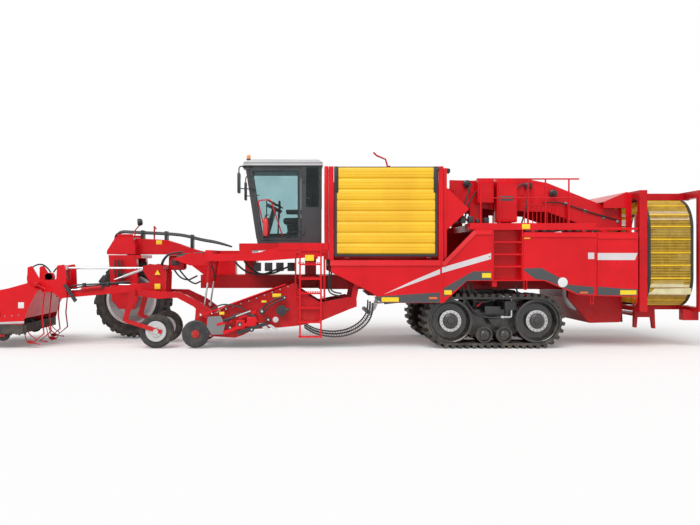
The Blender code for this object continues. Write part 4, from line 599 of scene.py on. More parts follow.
def set_stage():
    """Floor, white surroundings, one soft key light and the camera at the left side."""
    scene = bpy.context.scene
    scene.view_settings.view_transform = "Standard"
    deselect()
    bpy.ops.mesh.primitive_plane_add(size=400.0, location=(0, 0, -0.001))
    floor = settled(bpy.context.active_object)
    floor.name = "studio_floor"
    pale = bpy.data.materials.new("pale_floor")
    pale.use_nodes = True
    tree = pale.node_tree
    shader = tree.nodes["Principled BSDF"]
    shader.inputs["Base Color"].default_value = (0.84, 0.84, 0.84, 1)
    shader.inputs["Roughness"].default_value = 0.9
    shader.inputs["Specular IOR Level"].default_value = 0.0
    lift = tree.nodes.new("ShaderNodeEmission")
    lift.inputs["Strength"].default_value = 0.16
    both = tree.nodes.new("ShaderNodeAddShader")
    chosen = tree.nodes.new("ShaderNodeMixShader")
    rays = tree.nodes.new("ShaderNodeLightPath")
    tree.links.new(shader.outputs[0], both.inputs[0])
    tree.links.new(lift.outputs[0], both.inputs[1])
    tree.links.new(rays.outputs["Is Camera Ray"], chosen.inputs[0])
    tree.links.new(shader.outputs[0], chosen.inputs[1])
    tree.links.new(both.outputs[0], chosen.inputs[2])
    tree.links.new(chosen.outputs[0], tree.nodes["Material Output"].inputs["Surface"])
    floor.data.materials.append(pale)

    world = bpy.data.worlds.new("studio")
    scene.world = world
    world.use_nodes = True
    sky = world.node_tree
    plain = sky.nodes["Background"]
    plain.inputs["Color"].default_value = (1, 1, 1, 1)
    plain.inputs["Strength"].default_value = 0.50
    seen = sky.nodes.new("ShaderNodeBackground")
    seen.inputs["Color"].default_value = (1, 1, 1, 1)
    seen.inputs["Strength"].default_value = 1.0
    ray = sky.nodes.new("ShaderNodeLightPath")
    straight = sky.nodes.new("ShaderNodeMath")
    straight.operation = "MAXIMUM"
    sky.links.new(ray.outputs["Is Camera Ray"], straight.inputs[0])
    sky.links.new(ray.outputs["Is Transmission Ray"], straight.inputs[1])
    clear = sky.nodes.new("ShaderNodeMath")
    clear.operation = "MAXIMUM"
    sky.links.new(straight.outputs[0], clear.inputs[0])
    sky.links.new(ray.outputs["Is Glossy Ray"], clear.inputs[1])
    pick = sky.nodes.new("ShaderNodeMixShader")
    sky.links.new(clear.outputs[0], pick.inputs[0])
    sky.links.new(plain.outputs[0], pick.inputs[1])
    sky.links.new(seen.outputs[0], pick.inputs[2])
    sky.links.new(pick.outputs[0], sky.nodes["World Output"].inputs["Surface"])

    deselect()
    bpy.ops.object.light_add(type="SUN", rotation=(math.radians(40), math.radians(-18), 0))
    key = bpy.context.active_object
    key.name = "soft_key"
    key.data.energy = 2.1
    key.data.angle = math.radians(40)

    deselect()
    bpy.ops.object.camera_add(location=(-0.714, -18.65, 1.857), rotation=(math.pi / 2, 0, 0))
    camera = bpy.context.active_object
    camera.data.sensor_width = 36.0
    camera.data.lens = 42.84
    camera.data.shift_x = 0.0714
    camera.data.shift_y = -0.0064
    camera.data.clip_end = 500.0
    scene.camera = camera


# ---------------------------------------------------------------- running gear


def front_tyre():
    """Carcass with two rows of slanted lugs that meet at the tread's middle."""
    hub = Vector(FRONT_HUB)
    carcass = turned(
        [(0.575, -0.24), (0.60, -0.285), (0.68, -0.33), (0.77, -0.335), (0.825, -0.30), (0.848, -0.20),
         (0.856, 0.0), (0.848, 0.20), (0.825, 0.30), (0.77, 0.335), (0.68, 0.33), (0.60, 0.285),
         (0.575, 0.24),
         (0.575, -0.24)],
        hub, steps=64)
    lug_count = 20
    lugs = []
    for side in (-1, 1):
        foot = sheet_metal(
            [(-0.035, 0.02), (-0.115, 0.345), (-0.040, 0.350), (0.040, 0.02)], -0.12, 0.0, across="Z",
            edge=0.008)
        foot.data.transform(Matrix.Scale(side, 4, (0, 1, 0)))
        if side < 0:
            foot.data.flip_normals()
        for vertex in foot.data.vertices:
            reach = abs(vertex.co.y)
            drop = 0.055 * max(0.0, reach - 0.20) / 0.15
            vertex.co.z += FRONT_WHEEL_R - drop
        foot.data.transform(Matrix.Rotation(math.pi * (side > 0) / lug_count, 4, "Y"))
        foot.data.transform(Matrix.Translation(hub))
        lugs += spun(foot, hub, lug_count)
    beads = [turned([(0.61, -0.333), (0.635, -0.342), (0.66, -0.333), (0.61, -0.333)], hub, steps=64)]
    return piece_of("front_tyre_tread", "front_wheel", [(RUBBER, [carcass, *lugs, *beads])],
                    replaces=("front_tyre",))


def ring_of_bolts(centre, radius, count, head=0.016, length=0.02, side=-1):
    """Hexagon heads round a hub, standing out of a face that looks along Y."""
    start = Vector(centre) + Vector((radius, 0, 0))
    head_piece = bar(start, start + Vector((0, side * length, 0)), head, sides=6, edge=0.002)
    return spun(head_piece, centre, count)


def front_hub():
    hub = Vector(FRONT_HUB)
    cap = turned([(0.15, -0.34), (0.15, -0.30), (0.10, -0.26)], hub, axis=(0, 1, 0), steps=32, edge=0.004)
    bolts = ring_of_bolts(hub + Vector((0, -0.30, 0)), 0.23, 10, length=0.025)
    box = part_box("front_rim")
    near = box[0].y
    flange = turned([(0.30, near - hub.y), (0.30, near - hub.y + 0.01), (0.27, near - hub.y + 0.012),
                      (0.27, near - hub.y), (0.30, near - hub.y)], hub, steps=40)
    return piece_of("front_wheel_hub", "front_wheel", [(RIM, [cap, flange]), (GREY_STEEL, bolts)])


def track_hubs():
    """Pale bolt rings, hub caps and roller caps on the outer side of both crawler units."""
    pale, dark, bolts = [], [], []
    for side, name in ((-1, "track_gear_left"), (1, "track_gear_right")):
        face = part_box(name)[0].y if side < 0 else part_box(name)[1].y
        axis = (0, side, 0)
        for centre_x in TRACK_WHEEL_X:
            hub = Vector((centre_x, face, TRACK_WHEEL_Z))
            pale.append(turned([(0.222, -0.060), (0.222, -0.030), (0.212, -0.022), (0.166, -0.022),
                                (0.156, -0.034),
                                (0.156, -0.060), (0.222, -0.060)], hub, axis, steps=48))
            dark.append(turned([(0.138, -0.02), (0.138, 0.004), (0.128, 0.010), (0.075, 0.012),
                                (0.066, 0.026),
                                (0.05, 0.030)], hub, axis, steps=40))
            dark.append(turned([(0.437, -0.02), (0.437, 0.006), (0.425, 0.010), (0.412, 0.004),
                                (0.402, -0.02),
                                (0.437, -0.02)], hub, axis, steps=64))
            bolts += ring_of_bolts(hub + Vector((0, -side * 0.024, 0)), 0.190, 16, head=0.011, length=0.016,
                                   side=side)
        for centre_x in ROLLER_X:
            hub = Vector((centre_x, face, ROLLER_Z))
            dark.append(turned([(0.078, -0.02), (0.078, 0.006), (0.052, 0.018), (0.030, 0.022)], hub, axis,
                               steps=24))
            bolts += ring_of_bolts(hub, 0.062, 6, head=0.009, length=0.014, side=side)
    return piece_of("track_hub_caps", "chassis",
                    [(RIM, pale), (BLACK_GLOSS, dark), (GREY_STEEL, bolts)])


def track_hydraulics():
    """Hoses, rigid tubes and a valve block in the gap between the wheels of each crawler unit."""
    hoses, tubes, blocks, cables = [], [], [], []
    y = -1.50
    hoses.append(pipe([(2.62, y, 1.36), (2.68, y, 1.05), (2.80, y, 0.82), (2.98, y, 0.66), (3.30, y, 0.61),
                       (3.46, y, 0.64)], 0.020))
    hoses.append(pipe([(2.72, y - 0.03, 1.38), (2.76, y - 0.03, 1.12), (2.90, y - 0.03, 0.96),
                       (3.12, y - 0.03, 0.95),
                       (3.30, y - 0.03, 1.04), (3.46, y - 0.03, 1.06)], 0.019))
    hoses.append(pipe([(2.80, y + 0.05, 1.38), (2.86, y + 0.05, 1.18), (3.05, y + 0.05, 1.06),
                       (3.40, y + 0.05, 1.10)], 0.018))
    hoses.append(pipe([(3.72, y + 0.04, 1.30), (3.80, y + 0.04, 1.12), (3.76, y + 0.04, 0.92),
                       (3.66, y + 0.04, 0.84)], 0.018))
    tubes.append(bent_tube([(3.44, y, 1.06), (3.64, y, 1.06), (3.64, y, 0.93)], 0.016, bend=0.03))
    tubes.append(bent_tube([(3.64, y, 0.82), (3.64, y, 0.64), (3.44, y, 0.64)], 0.016, bend=0.03))
    tubes.append(bar((3.40, y, 1.06), (3.46, y, 1.06), 0.026, sides=6))
    tubes.append(bar((3.42, y, 0.64), (3.48, y, 0.64), 0.026, sides=6))
    blocks.append(block((3.50, y - 0.02, 0.78), (3.72, y + 0.10, 0.98), edge=0.012))
    blocks.append(block((3.10, y + 0.02, 0.70), (3.42, y + 0.10, 0.86), edge=0.012))
    blocks.append(sheet_metal([(3.16, 0.60), (3.42, 0.60), (3.33, 0.46), (3.25, 0.46)], y - 0.01, y + 0.04,
                              edge=0.004))
    cables.append(bar((2.94, y + 0.02, 0.86), (3.06, y + 0.02, 0.98), 0.018))
    cables.append(bar((3.78, y + 0.02, 1.02), (3.92, y + 0.02, 1.10), 0.018))
    pieces = [hoses, tubes, blocks, cables]
    return piece_of("track_hydraulics", "chassis",
                    [(finish, across_machine(made)) for finish,
                     made in zip((HOSE, RIM, DARK, RED_FRAME), pieces)])


def small_wheels():
    """Pale rims and hubs on the intake's depth wheels, and hubs on the cutting discs."""
    for name in ("depth_wheel_left", "depth_wheel_right"):
        low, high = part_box(name)
        centre = (low + high) / 2
        near = low.y
        depth = high.y - low.y
        face = turned([(0.215, 0.012), (0.205, -0.004), (0.12, 0.004), (0.11, -0.018), (0.06, -0.022),
                       (0.05, -0.035)],
                      (centre.x, near, centre.z), steps=40)
        far = turned([(0.215, -0.012), (0.205, 0.004), (0.10, -0.004)], (centre.x, near + depth, centre.z),
                     steps=40)
        bolts = ring_of_bolts((centre.x, near - 0.004, centre.z), 0.085, 5, head=0.011)
        piece_of(name + "_rim", name, [(RIM, [face, far]), (GREY_STEEL, bolts)])
    for name, finish in (("coulter_left", RED_FRAME), ("coulter_right", DARK)):
        low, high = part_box(name)
        centre = (low + high) / 2
        cap = turned([(0.085, -0.006), (0.08, 0.012), (0.045, 0.020)], (centre.x, low.y, centre.z),
                     (0, -1, 0), steps=28)
        bolts = ring_of_bolts((centre.x, low.y - 0.010, centre.z), 0.062, 4, head=0.009)
        piece_of(name + "_hub", name, [(finish, [cap]), (GREY_STEEL, bolts)])


# ---------------------------------------------------------------- side panels and stripes


def decal(outline, skin=LEFT_SKIN, depth=DECAL):
    """A thin film on a side panel, standing just out of it."""
    side = -1 if skin < 0 else 1
    return sheet_metal(outline, skin - side * 0.001, skin + side * depth, edge=0.0)


def rectangle(low_x, high_x, low_z, high_z):
    return [(low_x, low_z), (high_x, low_z), (high_x, high_z), (low_x, high_z)]


STRIPES = {
    "skirt": {
        "body": "chassis",
        "silver": [[(1.00, 1.118), (2.143, 1.531), (2.143, 1.633), (1.60, 1.40)]],
        "charcoal": [[(0.939, 0.945), (2.143, 0.945), (2.143, 1.157), (0.790, 1.068)]],
        "label": [rectangle(0.95, 1.30, 0.965, 1.055)],
        "reflector": [rectangle(1.918, 2.082, 1.02, 1.06)],
    },
    "shoulder": {
        "body": "chassis",
        "silver": [[(2.184, 1.551), (3.184, 1.837), (3.184, 1.959), (2.184, 1.663)]],
        "charcoal": [[(2.204, 1.05), (2.45, 1.20), (2.70, 1.40), (3.184, 1.40), (3.184, 1.586),
                      (2.816, 1.586),
                      (2.204, 1.235)]],
        "label": [rectangle(3.00, 3.184, 1.455, 1.55), rectangle(2.23, 2.38, 1.11, 1.20)],
        "reflector": [],
    },
    "side_door": {
        "body": "side_door_left",
        "silver": [rectangle(5.164, 5.290, 1.837, 1.967)],
        "charcoal": [[(4.082, 1.429), (4.32, 1.40), (4.60, 1.285), (4.97, 1.125), (5.286, 1.110),
                      (5.286, 1.265),
                      (4.776, 1.314), (4.592, 1.449), (4.204, 1.657), (3.857, 1.641), (3.857, 1.60)]],
        "label": [rectangle(3.86, 3.98, 2.25, 2.34)],
        "reflector": [rectangle(5.00, 5.16, 1.135, 1.17)],
    },
    "rear_door": {
        "body": "rear_door_left",
        "silver": [[(5.36, 1.816), (6.12, 1.816), (6.175, 1.959), (5.36, 1.959)]],
        "charcoal": [[(5.36, 1.10), (6.17, 1.085), (6.17, 1.22), (5.816, 1.237), (5.36, 1.275)]],
        "label": [rectangle(5.82, 6.15, 1.11, 1.20)],
        "reflector": [],
    },
}
FINISH_OF = {"silver": SILVER, "charcoal": CHARCOAL, "label": LABEL, "reflector": REFLECTOR}


def mirrored_body(body):
    return body.replace("left", "right")


def side_stripes():
    """The stripes, bare label plates and reflectors on both sides of the machine."""
    for side, skin in (("left", LEFT_SKIN), ("right", RIGHT_SKIN)):
        for area, parts in STRIPES.items():
            body = parts["body"] if side == "left" else mirrored_body(parts["body"])
            dressed = []
            for kind in ("charcoal", "silver", "label", "reflector"):
                depth = {"charcoal": 0.003, "silver": 0.0035, "label": 0.005, "reflector": 0.008}[kind]
                made = [decal(outline, skin, depth) for outline in parts[kind]]
                if made:
                    dressed.append((FINISH_OF[kind], made))
            piece_of(f"{area}_stripes_{side}", body, dressed)


def speed_plate():
    plate = turned([(0.10, 0.0), (0.10, 0.006), (0.094, 0.008)], (4.647, LEFT_SKIN, 1.36), (0, -1, 0),
                   steps=40)
    rim = turned([(0.106, 0.0), (0.106, 0.004), (0.10, 0.005)], (4.647, LEFT_SKIN, 1.36), (0, -1, 0),
                 steps=40)
    return piece_of("round_plate_left", "side_door_left",
                    [(LABEL_WHITE, [plate]), (CHARCOAL, [rim])])


def panel_fasteners():
    """Dome bolts along the panel edges."""
    rows = {
        "chassis": [((0.05, 1.70), (2.05, 1.70), 9), ((2.30, 1.82), (2.80, 2.30), 4),
                    ((2.85, 2.36), (3.15, 2.36), 3),
                    ((3.15, 1.70), (3.15, 2.25), 4)],
        "side_door_left": [((3.90, 2.30), (5.29, 2.30), 8), ((3.90, 1.75), (3.90, 2.2), 3),
                           ((5.29, 1.4), (5.29, 2.2), 5)],
        "rear_door_left": [((5.41, 2.27), (6.12, 2.27), 5), ((5.41, 1.4), (5.41, 2.2), 5),
                           ((6.12, 1.4), (6.12, 2.2), 5)],
    }
    for body, lines in rows.items():
        places = []
        for start, end, count in lines:
            for i in range(count):
                share = i / (count - 1)
                places.append((start[0] + (end[0] - start[0]) * share,
                               start[1] + (end[1] - start[1]) * share))
        for side, skin in ((-1, LEFT_SKIN), (1, RIGHT_SKIN)):
            name = "left" if side < 0 else "right"
            head = turned([(0.014, 0.0), (0.013, 0.005), (0.008, 0.009), (0.004, 0.010)], (0, skin, 0),
                          (0, side, 0), steps=12)
            heads = shifted(head, [(x, 0, z) for x, z in places])
            owner = body if side < 0 else mirrored_body(body)
            piece_of(f"panel_bolts_{owner}_{name}", owner, [(RED_FRAME, heads)])


def door_latches():
    """Pull loops that hang under the doors' lower corners."""
    hanging = {"side_door_left": ((3.885, 1.40), (5.245, 1.11)), "rear_door_left": ((6.12, 1.09),)}
    for body, places in hanging.items():
        for side, skin in ((-1, LEFT_SKIN), (1, RIGHT_SKIN)):
            owner = body if side < 0 else mirrored_body(body)
            y = skin - side * 0.008
            loops = []
            for x, top in places:
                loops.append(bent_tube([(x - 0.028, y, top), (x - 0.028, y, top - 0.19),
                                        (x + 0.028, y, top - 0.19),
                                        (x + 0.028, y, top)], 0.010, bend=0.02))
                loops.append(bar((x - 0.04, y, top), (x + 0.04, y, top), 0.014))
            piece_of(f"pull_loops_{owner}", owner, [(RED, loops)])


def panel_lips():
    """Sloped lips that stiffen the skirt's top edge and the shoulder's front and top edges."""
    skirt = [(LEFT_SKIN + 0.002, 1.695), (LEFT_SKIN - 0.030, 1.700), (LEFT_SKIN + 0.002, 1.812)]
    lips = [sheet_metal(skirt, -0.10, 2.150, across="X", edge=0.003)]
    run = [(2.17, 1.745), (2.83, 2.425)]
    slope = math.atan2(run[1][1] - run[0][1], run[1][0] - run[0][0])
    length = math.hypot(run[1][0] - run[0][0], run[1][1] - run[0][1])
    profile = [(0.0, 0.0), (-0.028, -0.090), (0.0, -0.095)]
    rail = sheet_metal(profile, 0.0, length, across="X", edge=0.003)
    rail.data.transform(Matrix.Rotation(-slope, 4, "Y"))
    rail.data.transform(Matrix.Translation((run[0][0], LEFT_SKIN + 0.002, run[0][1])))
    lips.append(rail)
    top = [(LEFT_SKIN + 0.002, 2.33), (LEFT_SKIN - 0.028, 2.335), (LEFT_SKIN + 0.002, 2.425)]
    lips.append(sheet_metal(top, 2.86, 3.20, across="X", edge=0.003))
    piece_of("panel_lips_left", "chassis", [(RED, lips)])
    for body, start, end, top_z in (("side_door_left", 3.86, 5.33, 2.375),
                                    ("rear_door_left", 5.37, 6.16, 2.345)):
        for side in (-1, 1):
            skin = side * RIGHT_SKIN
            lip = sheet_metal([(skin - side * 0.002, top_z - 0.10), (skin + side * 0.024, top_z - 0.095),
                               (skin - side * 0.002, top_z)], start, end, across="X", edge=0.003)
            owner = body if side < 0 else mirrored_body(body)
            piece_of(f"door_lip_{owner}", owner, [(RED, [lip])])
    # Dark blocks along the deck edge stand in for its notches: painted shade where the openings are.
    notch = block((3.90, LEFT_SKIN - 0.004, 2.402), (3.98, LEFT_SKIN + 0.02, 2.424), edge=0.003)
    notches = across_machine(shifted(notch, [(0.17 * i, 0, 0) for i in range(9)]))
    piece_of("deck_edge_notch_painted_shade", "chassis", [(DARK, notches)])


# ---------------------------------------------------------------- bunker


def unloading_slats():
    """Ribbed yellow slats of the unloading conveyor, on dark side chains."""
    low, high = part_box("conveyor_slats")
    count = 8
    pitch = (high.z - low.z) / count
    front_y = low.y
    slats, lines = [], []
    profile = [(0.018, 0.0), (0.018, 0.006), (-0.004, 0.020), (-0.010, 0.045), (-0.010, pitch - 0.045),
               (-0.004, pitch - 0.020), (0.018, pitch - 0.006), (0.018, pitch)]
    for i in range(count):
        foot = low.z + i * pitch
        outline = [(front_y + 0.010 + y, foot + z) for y, z in profile]
        outline += [(front_y + 0.040, foot + pitch), (front_y + 0.040, foot)]
        slats.append(sheet_metal(outline, low.x, high.x, across="X", edge=0.002))
        for share in (0.36, 0.64):
            rib_z = foot + share * pitch
            lines.append(block((low.x + 0.02, front_y - 0.005, rib_z - 0.006),
                               (high.x - 0.02, front_y + 0.003, rib_z + 0.006), edge=0.003))
    return piece_of("bunker_conveyor_slats", "unloading_conveyor", [(YELLOW, slats + lines)],
                    replaces=("conveyor_slats",))


def conveyor_chains():
    low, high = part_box("conveyor_slats")
    pieces = []
    links = 44
    pitch = (high.z - low.z - 0.1) / links
    for edge_x in (low.x - 0.028, high.x + 0.028):
        link = block((edge_x - 0.010, low.y - 0.004, low.z + 0.05),
                     (edge_x + 0.010, low.y + 0.012, low.z + 0.05 + pitch * 0.7), edge=0.003)
        pieces += shifted(link, [(0, 0, i * pitch) for i in range(links)])
    guards = [block((x0, low.y - 0.012, high.z - 0.52), (x1, low.y + 0.02, high.z + 0.02), edge=0.012)
              for x0, x1 in ((low.x - 0.06, low.x + 0.03), (high.x - 0.03, high.x + 0.06))]
    motor = bar((high.x + 0.02, low.y + 0.03, high.z - 0.04), (high.x + 0.10, low.y + 0.03, high.z - 0.04),
                0.05, edge=0.006)
    return piece_of("bunker_conveyor_chains", "unloading_conveyor",
                    [(GREY_STEEL, pieces), (PLASTIC, guards), (DARK, [motor])])


# ---------------------------------------------------------------- ring elevator


def ring_route(steps=10):
    """Centre line of the ring's web in the YZ plane, anticlockwise, as (y, z, outward y, outward z)."""
    low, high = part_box("ring_elevator_belt")
    corner = 0.62
    route = []
    centres = [(high.y - corner, low.z + corner, -90), (high.y - corner, high.z - corner, 0),
               (low.y + corner, high.z - corner, 90), (low.y + corner, low.z + corner, 180)]
    for centre_y, centre_z, start in centres:
        for i in range(steps + 1):
            angle = math.radians(start + 90 * i / steps)
            route.append((centre_y + corner * math.cos(angle), centre_z + corner * math.sin(angle),
                          math.cos(angle), math.sin(angle)))
    return route


def along_route(route, pitch):
    """Places at an even pitch along a closed route."""
    lengths = []
    closed = route + route[:1]
    for here, ahead in zip(closed, closed[1:]):
        lengths.append(math.hypot(ahead[0] - here[0], ahead[1] - here[1]))
    total = sum(lengths)
    count = int(total / pitch)
    step = total / count
    places = []
    for i in range(count):
        left = i * step
        for (here, ahead), length in zip(zip(closed, closed[1:]), lengths):
            if left <= length:
                share = left / length if length else 0.0
                places.append([a + (b - a) * share for a, b in zip(here, ahead)])
                break
            left -= length
    return places


def ring_web():
    """Round bars, side belts and pocket flights that carry the crop up inside the ring."""
    low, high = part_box("ring_elevator_belt")
    route = ring_route()
    rod_radius = 0.010
    depth = 0.020
    rods, flights, belts = [], [], []
    rod = bar((low.x + 0.01, 0, 0), (high.x - 0.01, 0, 0), rod_radius, sides=8)
    places = along_route(route, 0.032)
    moves = [Matrix.Translation((0, y - oy * depth, z - oz * depth)) for y, z, oy, oz in places]
    rods = copies(rod, moves)
    flight = block((low.x + 0.03, -0.012, -0.11), (high.x - 0.03, 0.012, 0.018), edge=0.006)
    ridge = [(-0.030, -0.022), (0.0, 0.016), (0.030, -0.022)]
    tooth = sheet_metal(ridge, low.x + 0.05, low.x + 0.09, across="X", edge=0.004)
    teeth = shifted(tooth, [(0.052 * i, 0, 0) for i in range(16)])
    pocket_places = along_route(route, 0.262)
    flight_moves = []
    for y, z, oy, oz in pocket_places:
        turn = Matrix.Rotation(math.atan2(oz, oy) - math.pi / 2, 4, "X")
        flight_moves.append(Matrix.Translation((0, y - oy * depth, z - oz * depth)) @ turn)
    flights = copies(flight, flight_moves)
    for tooth in teeth:
        flights += copies(tooth, flight_moves)
    strand = [(low.x + 0.15 * i, low.x + 0.15 * i + 0.012) for i in range(1, 6)]
    near_y = low.y + 0.030
    strands = [block((a, near_y, low.z + 0.62), (b, near_y + 0.012, high.z - 0.62), edge=0.002) for a,
               b in strand]
    strands += [block((a, -near_y - 0.012, low.z + 0.62), (b, -near_y, high.z - 0.62), edge=0.002) for a,
                b in strand]
    # Dark sheets behind the near and far web: painted shade standing in for the shaded inside of the ring
    # seen between the bars.
    painted_shade_backs = [block((low.x + 0.04, near_y + 0.040, low.z + 0.45),
                   (high.x - 0.04, near_y + 0.046, high.z - 0.45), edge=0.001),
             block((low.x + 0.04, -near_y - 0.046, low.z + 0.45),
                   (high.x - 0.04, -near_y - 0.040, high.z - 0.45), edge=0.001)]
    flaps = []
    for z, tall, start, end in ((2.32, 0.14, 0.04, 0.90), (1.82, 0.15, 0.52, 0.90), (1.60, 0.14, 0.64, 0.90),
                                (1.28, 0.12, 0.04, 0.74), (1.12, 0.12, 0.03, 0.90)):
        flaps.append(sheet_metal([(low.x + start, z), (low.x + end, z - 0.01), (low.x + end, z + tall),
                                  (low.x + start + 0.12, z + tall * 0.9)], near_y + 0.004, near_y + 0.012,
                                  edge=0.002))
    for edge_x in (low.x, high.x - 0.055):
        outer = [(y, z) for y, z, _, _ in route]
        inner = [(y - oy * 0.035, z - oz * 0.035) for y, z, oy, oz in route]
        belt = sheet_metal(outer, edge_x, edge_x + 0.055, across="X", edge=0.0)
        cutter = sheet_metal(inner, edge_x - 0.02, edge_x + 0.075, across="X", edge=0.0)
        applied(belt, "BOOLEAN", operation="DIFFERENCE", object=cutter)
        bpy.data.objects.remove(cutter)
        belts.append(belt)
    return piece_of("ring_web", "chassis",
                    [(WEB_YELLOW, rods + strands), (FLIGHT_YELLOW, flights), (WEB_BACKING_PAINTED_SHADE, painted_shade_backs),
                     (CREAM, flaps),
                     (HOSE, belts)],
                    replaces=("ring_elevator_belt",))


# ---------------------------------------------------------------- cab


def cab_outside():
    roof_low, roof_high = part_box("cab_roof")
    lamps, bodies, amber = [], [], []
    for x, y in ((roof_low.x + 0.03, -1.05), (roof_low.x + 0.03, -0.75), (roof_low.x + 0.03, 0.15),
                 (roof_low.x + 0.03, 0.45)):
        z = roof_low.z + 0.03
        bodies.append(block((x - 0.03, y - 0.07, z - 0.075), (x + 0.05, y + 0.07, z + 0.005), edge=0.012))
        lamps.append(block((x - 0.036, y - 0.058, z - 0.065), (x - 0.028, y + 0.058, z - 0.005), edge=0.003))
    beacon_x = roof_low.x + 0.12
    base = turned([(0.05, 0.0), (0.05, 0.02), (0.04, 0.03)], (beacon_x, -1.02, roof_high.z), (0, 0, 1),
                  steps=24)
    dome = turned([(0.042, 0.02), (0.042, 0.085), (0.034, 0.105), (0.016, 0.115)],
                  (beacon_x, -1.02, roof_high.z), (0, 0, 1), steps=24)
    bodies.append(base)
    amber.append(dome)
    vent = block((roof_high.x - 0.55, -0.95, roof_high.z - 0.004),
                 (roof_high.x - 0.10, 0.35, roof_high.z + 0.022), edge=0.01)
    seam = block((roof_low.x + 0.02, roof_low.y - 0.004, roof_low.z + 0.045),
                 (roof_high.x - 0.02, roof_low.y + 0.01, roof_low.z + 0.057), edge=0.002)
    return piece_of("cab_roof_fittings", "chassis",
                    [(PLASTIC, bodies + [seam]), (LENS, lamps), (AMBER, amber), (ROOF, [vent])])


def mirrors():
    arms, shells, glass = [], [], []
    for side in (-1, 1):
        y_cab = -1.16 if side < 0 else 0.56
        y_out = y_cab + side * 0.22
        arms.append(bent_tube([(-1.72, y_cab, 3.78), (-1.98, y_out, 3.76), (-1.98, y_out, 3.55)], 0.013,
                              bend=0.05))
        arms.append(bent_tube([(-1.66, y_cab, 3.30), (-1.98, y_out, 3.30), (-1.98, y_out, 3.45)], 0.011,
                              bend=0.05))
        shells.append(block((-2.01, y_out - 0.10, 3.20), (-1.95, y_out + 0.10, 3.62), edge=0.02))
        glass.append(block((-1.953, y_out - 0.085, 3.225), (-1.945, y_out + 0.085, 3.595), edge=0.004))
    return piece_of("cab_mirrors", "chassis", [(PLASTIC, arms + shells), (BRIGHT, glass)])


def cab_inside():
    """Seat with its cushion, backrest, headrest, armrests and bellows."""
    low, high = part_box("driver_seat")
    centre_y = (low.y + high.y) / 2
    x0 = low.x
    cushion = block((x0 + 0.22, centre_y - 0.25, low.z + 0.38), (x0 + 0.72, centre_y + 0.25, low.z + 0.52),
                    edge=0.05)
    back = sheet_metal([(x0 + 0.62, low.z + 0.46), (x0 + 0.74, low.z + 0.44), (x0 + 0.83, high.z - 0.16),
                        (x0 + 0.74, high.z - 0.14)], centre_y - 0.24, centre_y + 0.24, edge=0.0)
    rounded(back, 0.035, segments=4)
    head = block((x0 + 0.72, centre_y - 0.14, high.z - 0.14), (x0 + 0.82, centre_y + 0.14, high.z - 0.005),
                 edge=0.035)
    rests = [block((x0 + 0.28, y - 0.045, low.z + 0.62), (x0 + 0.66, y + 0.045, low.z + 0.69), edge=0.02)
             for y in (centre_y - 0.34, centre_y + 0.34)]
    bellows = [turned([(0.16, 0), (0.19, 0.03), (0.15, 0.06), (0.19, 0.10), (0.15, 0.14), (0.19, 0.18),
                       (0.16, 0.22),
                       (0.18, 0.36)], (x0 + 0.47, centre_y, low.z + 0.01), (0, 0, 1), steps=28)]
    return piece_of("driver_seat_cushions", "chassis",
                    [(SEAT, [cushion, back, head]), (PLASTIC, rests + bellows)], replaces=("driver_seat",))


def cab_controls():
    low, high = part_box("steering_console")
    centre = Vector(((low.x + high.x) / 2 + 0.05, (low.y + high.y) / 2, high.z - 0.02))
    axis = Vector((0.55, 0, 1)).normalized()
    deselect()
    bpy.ops.mesh.primitive_torus_add(location=centre, major_radius=0.19, minor_radius=0.016,
                                     major_segments=40, minor_segments=10)
    wheel = bpy.context.active_object
    wheel.rotation_euler = axis.to_track_quat("Z", "Y").to_euler()
    settled(wheel)
    spokes = []
    sideways = Vector((0, 1, 0))
    forward = axis.cross(sideways)
    for direction in (sideways, -sideways, forward):
        spokes.append(bar(centre, centre + direction * 0.185, 0.012, sides=10))
    boss = turned([(0.05, -0.03), (0.055, 0.0), (0.04, 0.02)], centre, axis, steps=24)
    screens, faces = [], []
    for x, y, z in ((-1.18, -0.02, 3.02), (-1.20, 0.22, 2.86)):
        screens.append(block((x - 0.015, y - 0.14, z - 0.11), (x + 0.03, y + 0.14, z + 0.11), edge=0.012))
        faces.append(block((x + 0.029, y - 0.12, z - 0.09), (x + 0.033, y + 0.12, z + 0.09), edge=0.001))
        screens.append(bar((x, y, z - 0.1), (x - 0.02, y, 2.4), 0.012))
    return piece_of("cab_controls", "chassis",
                    [(PLASTIC, [wheel, boss] + spokes + screens), (CHARCOAL, faces)])


def cab_door_trim():
    """Handle, latch, guard frame and extinguisher with its straps, that swing with the door."""
    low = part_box("cab_door")[0]
    outer = low.y
    handle = bent_tube([(low.x + 0.36, outer + 0.01, 2.75), (low.x + 0.36, outer - 0.04, 2.78),
                        (low.x + 0.36, outer - 0.04, 3.02), (low.x + 0.36, outer + 0.01, 3.05)], 0.012)
    latch = block((low.x + 0.30, outer - 0.012, 2.62), (low.x + 0.42, outer + 0.01, 2.70), edge=0.008)
    guard = bent_tube([(-1.42, outer - 0.010, 2.30), (-1.60, outer - 0.045, 3.06),
                       (-1.33, outer - 0.045, 3.08),
                       (-1.08, outer - 0.010, 2.32)], 0.013, bend=0.05)
    bottle = turned([(0.055, 0.0), (0.06, 0.012), (0.06, 0.30), (0.045, 0.345), (0.022, 0.36), (0.022, 0.39)],
                    (-1.43, outer - 0.075, 2.32), (0, 0, 1), steps=28)
    neck = turned([(0.026, 0.39), (0.026, 0.42), (0.012, 0.43)], (-1.43, outer - 0.075, 2.32), (0, 0, 1),
                  steps=16)
    grip = bar((-1.44, outer - 0.075, 2.745), (-1.36, outer - 0.075, 2.765), 0.009)
    straps = [block((-1.50, outer - 0.012, z), (-1.36, outer + 0.004, z + 0.03), edge=0.003)
              for z in (2.40, 2.56)]
    return piece_of("cab_door_fittings", "cab_door",
                    [(PLASTIC, [handle, latch, neck, grip] + straps), (RED_FRAME, [guard]),
                     (EXTINGUISHER, [bottle])])


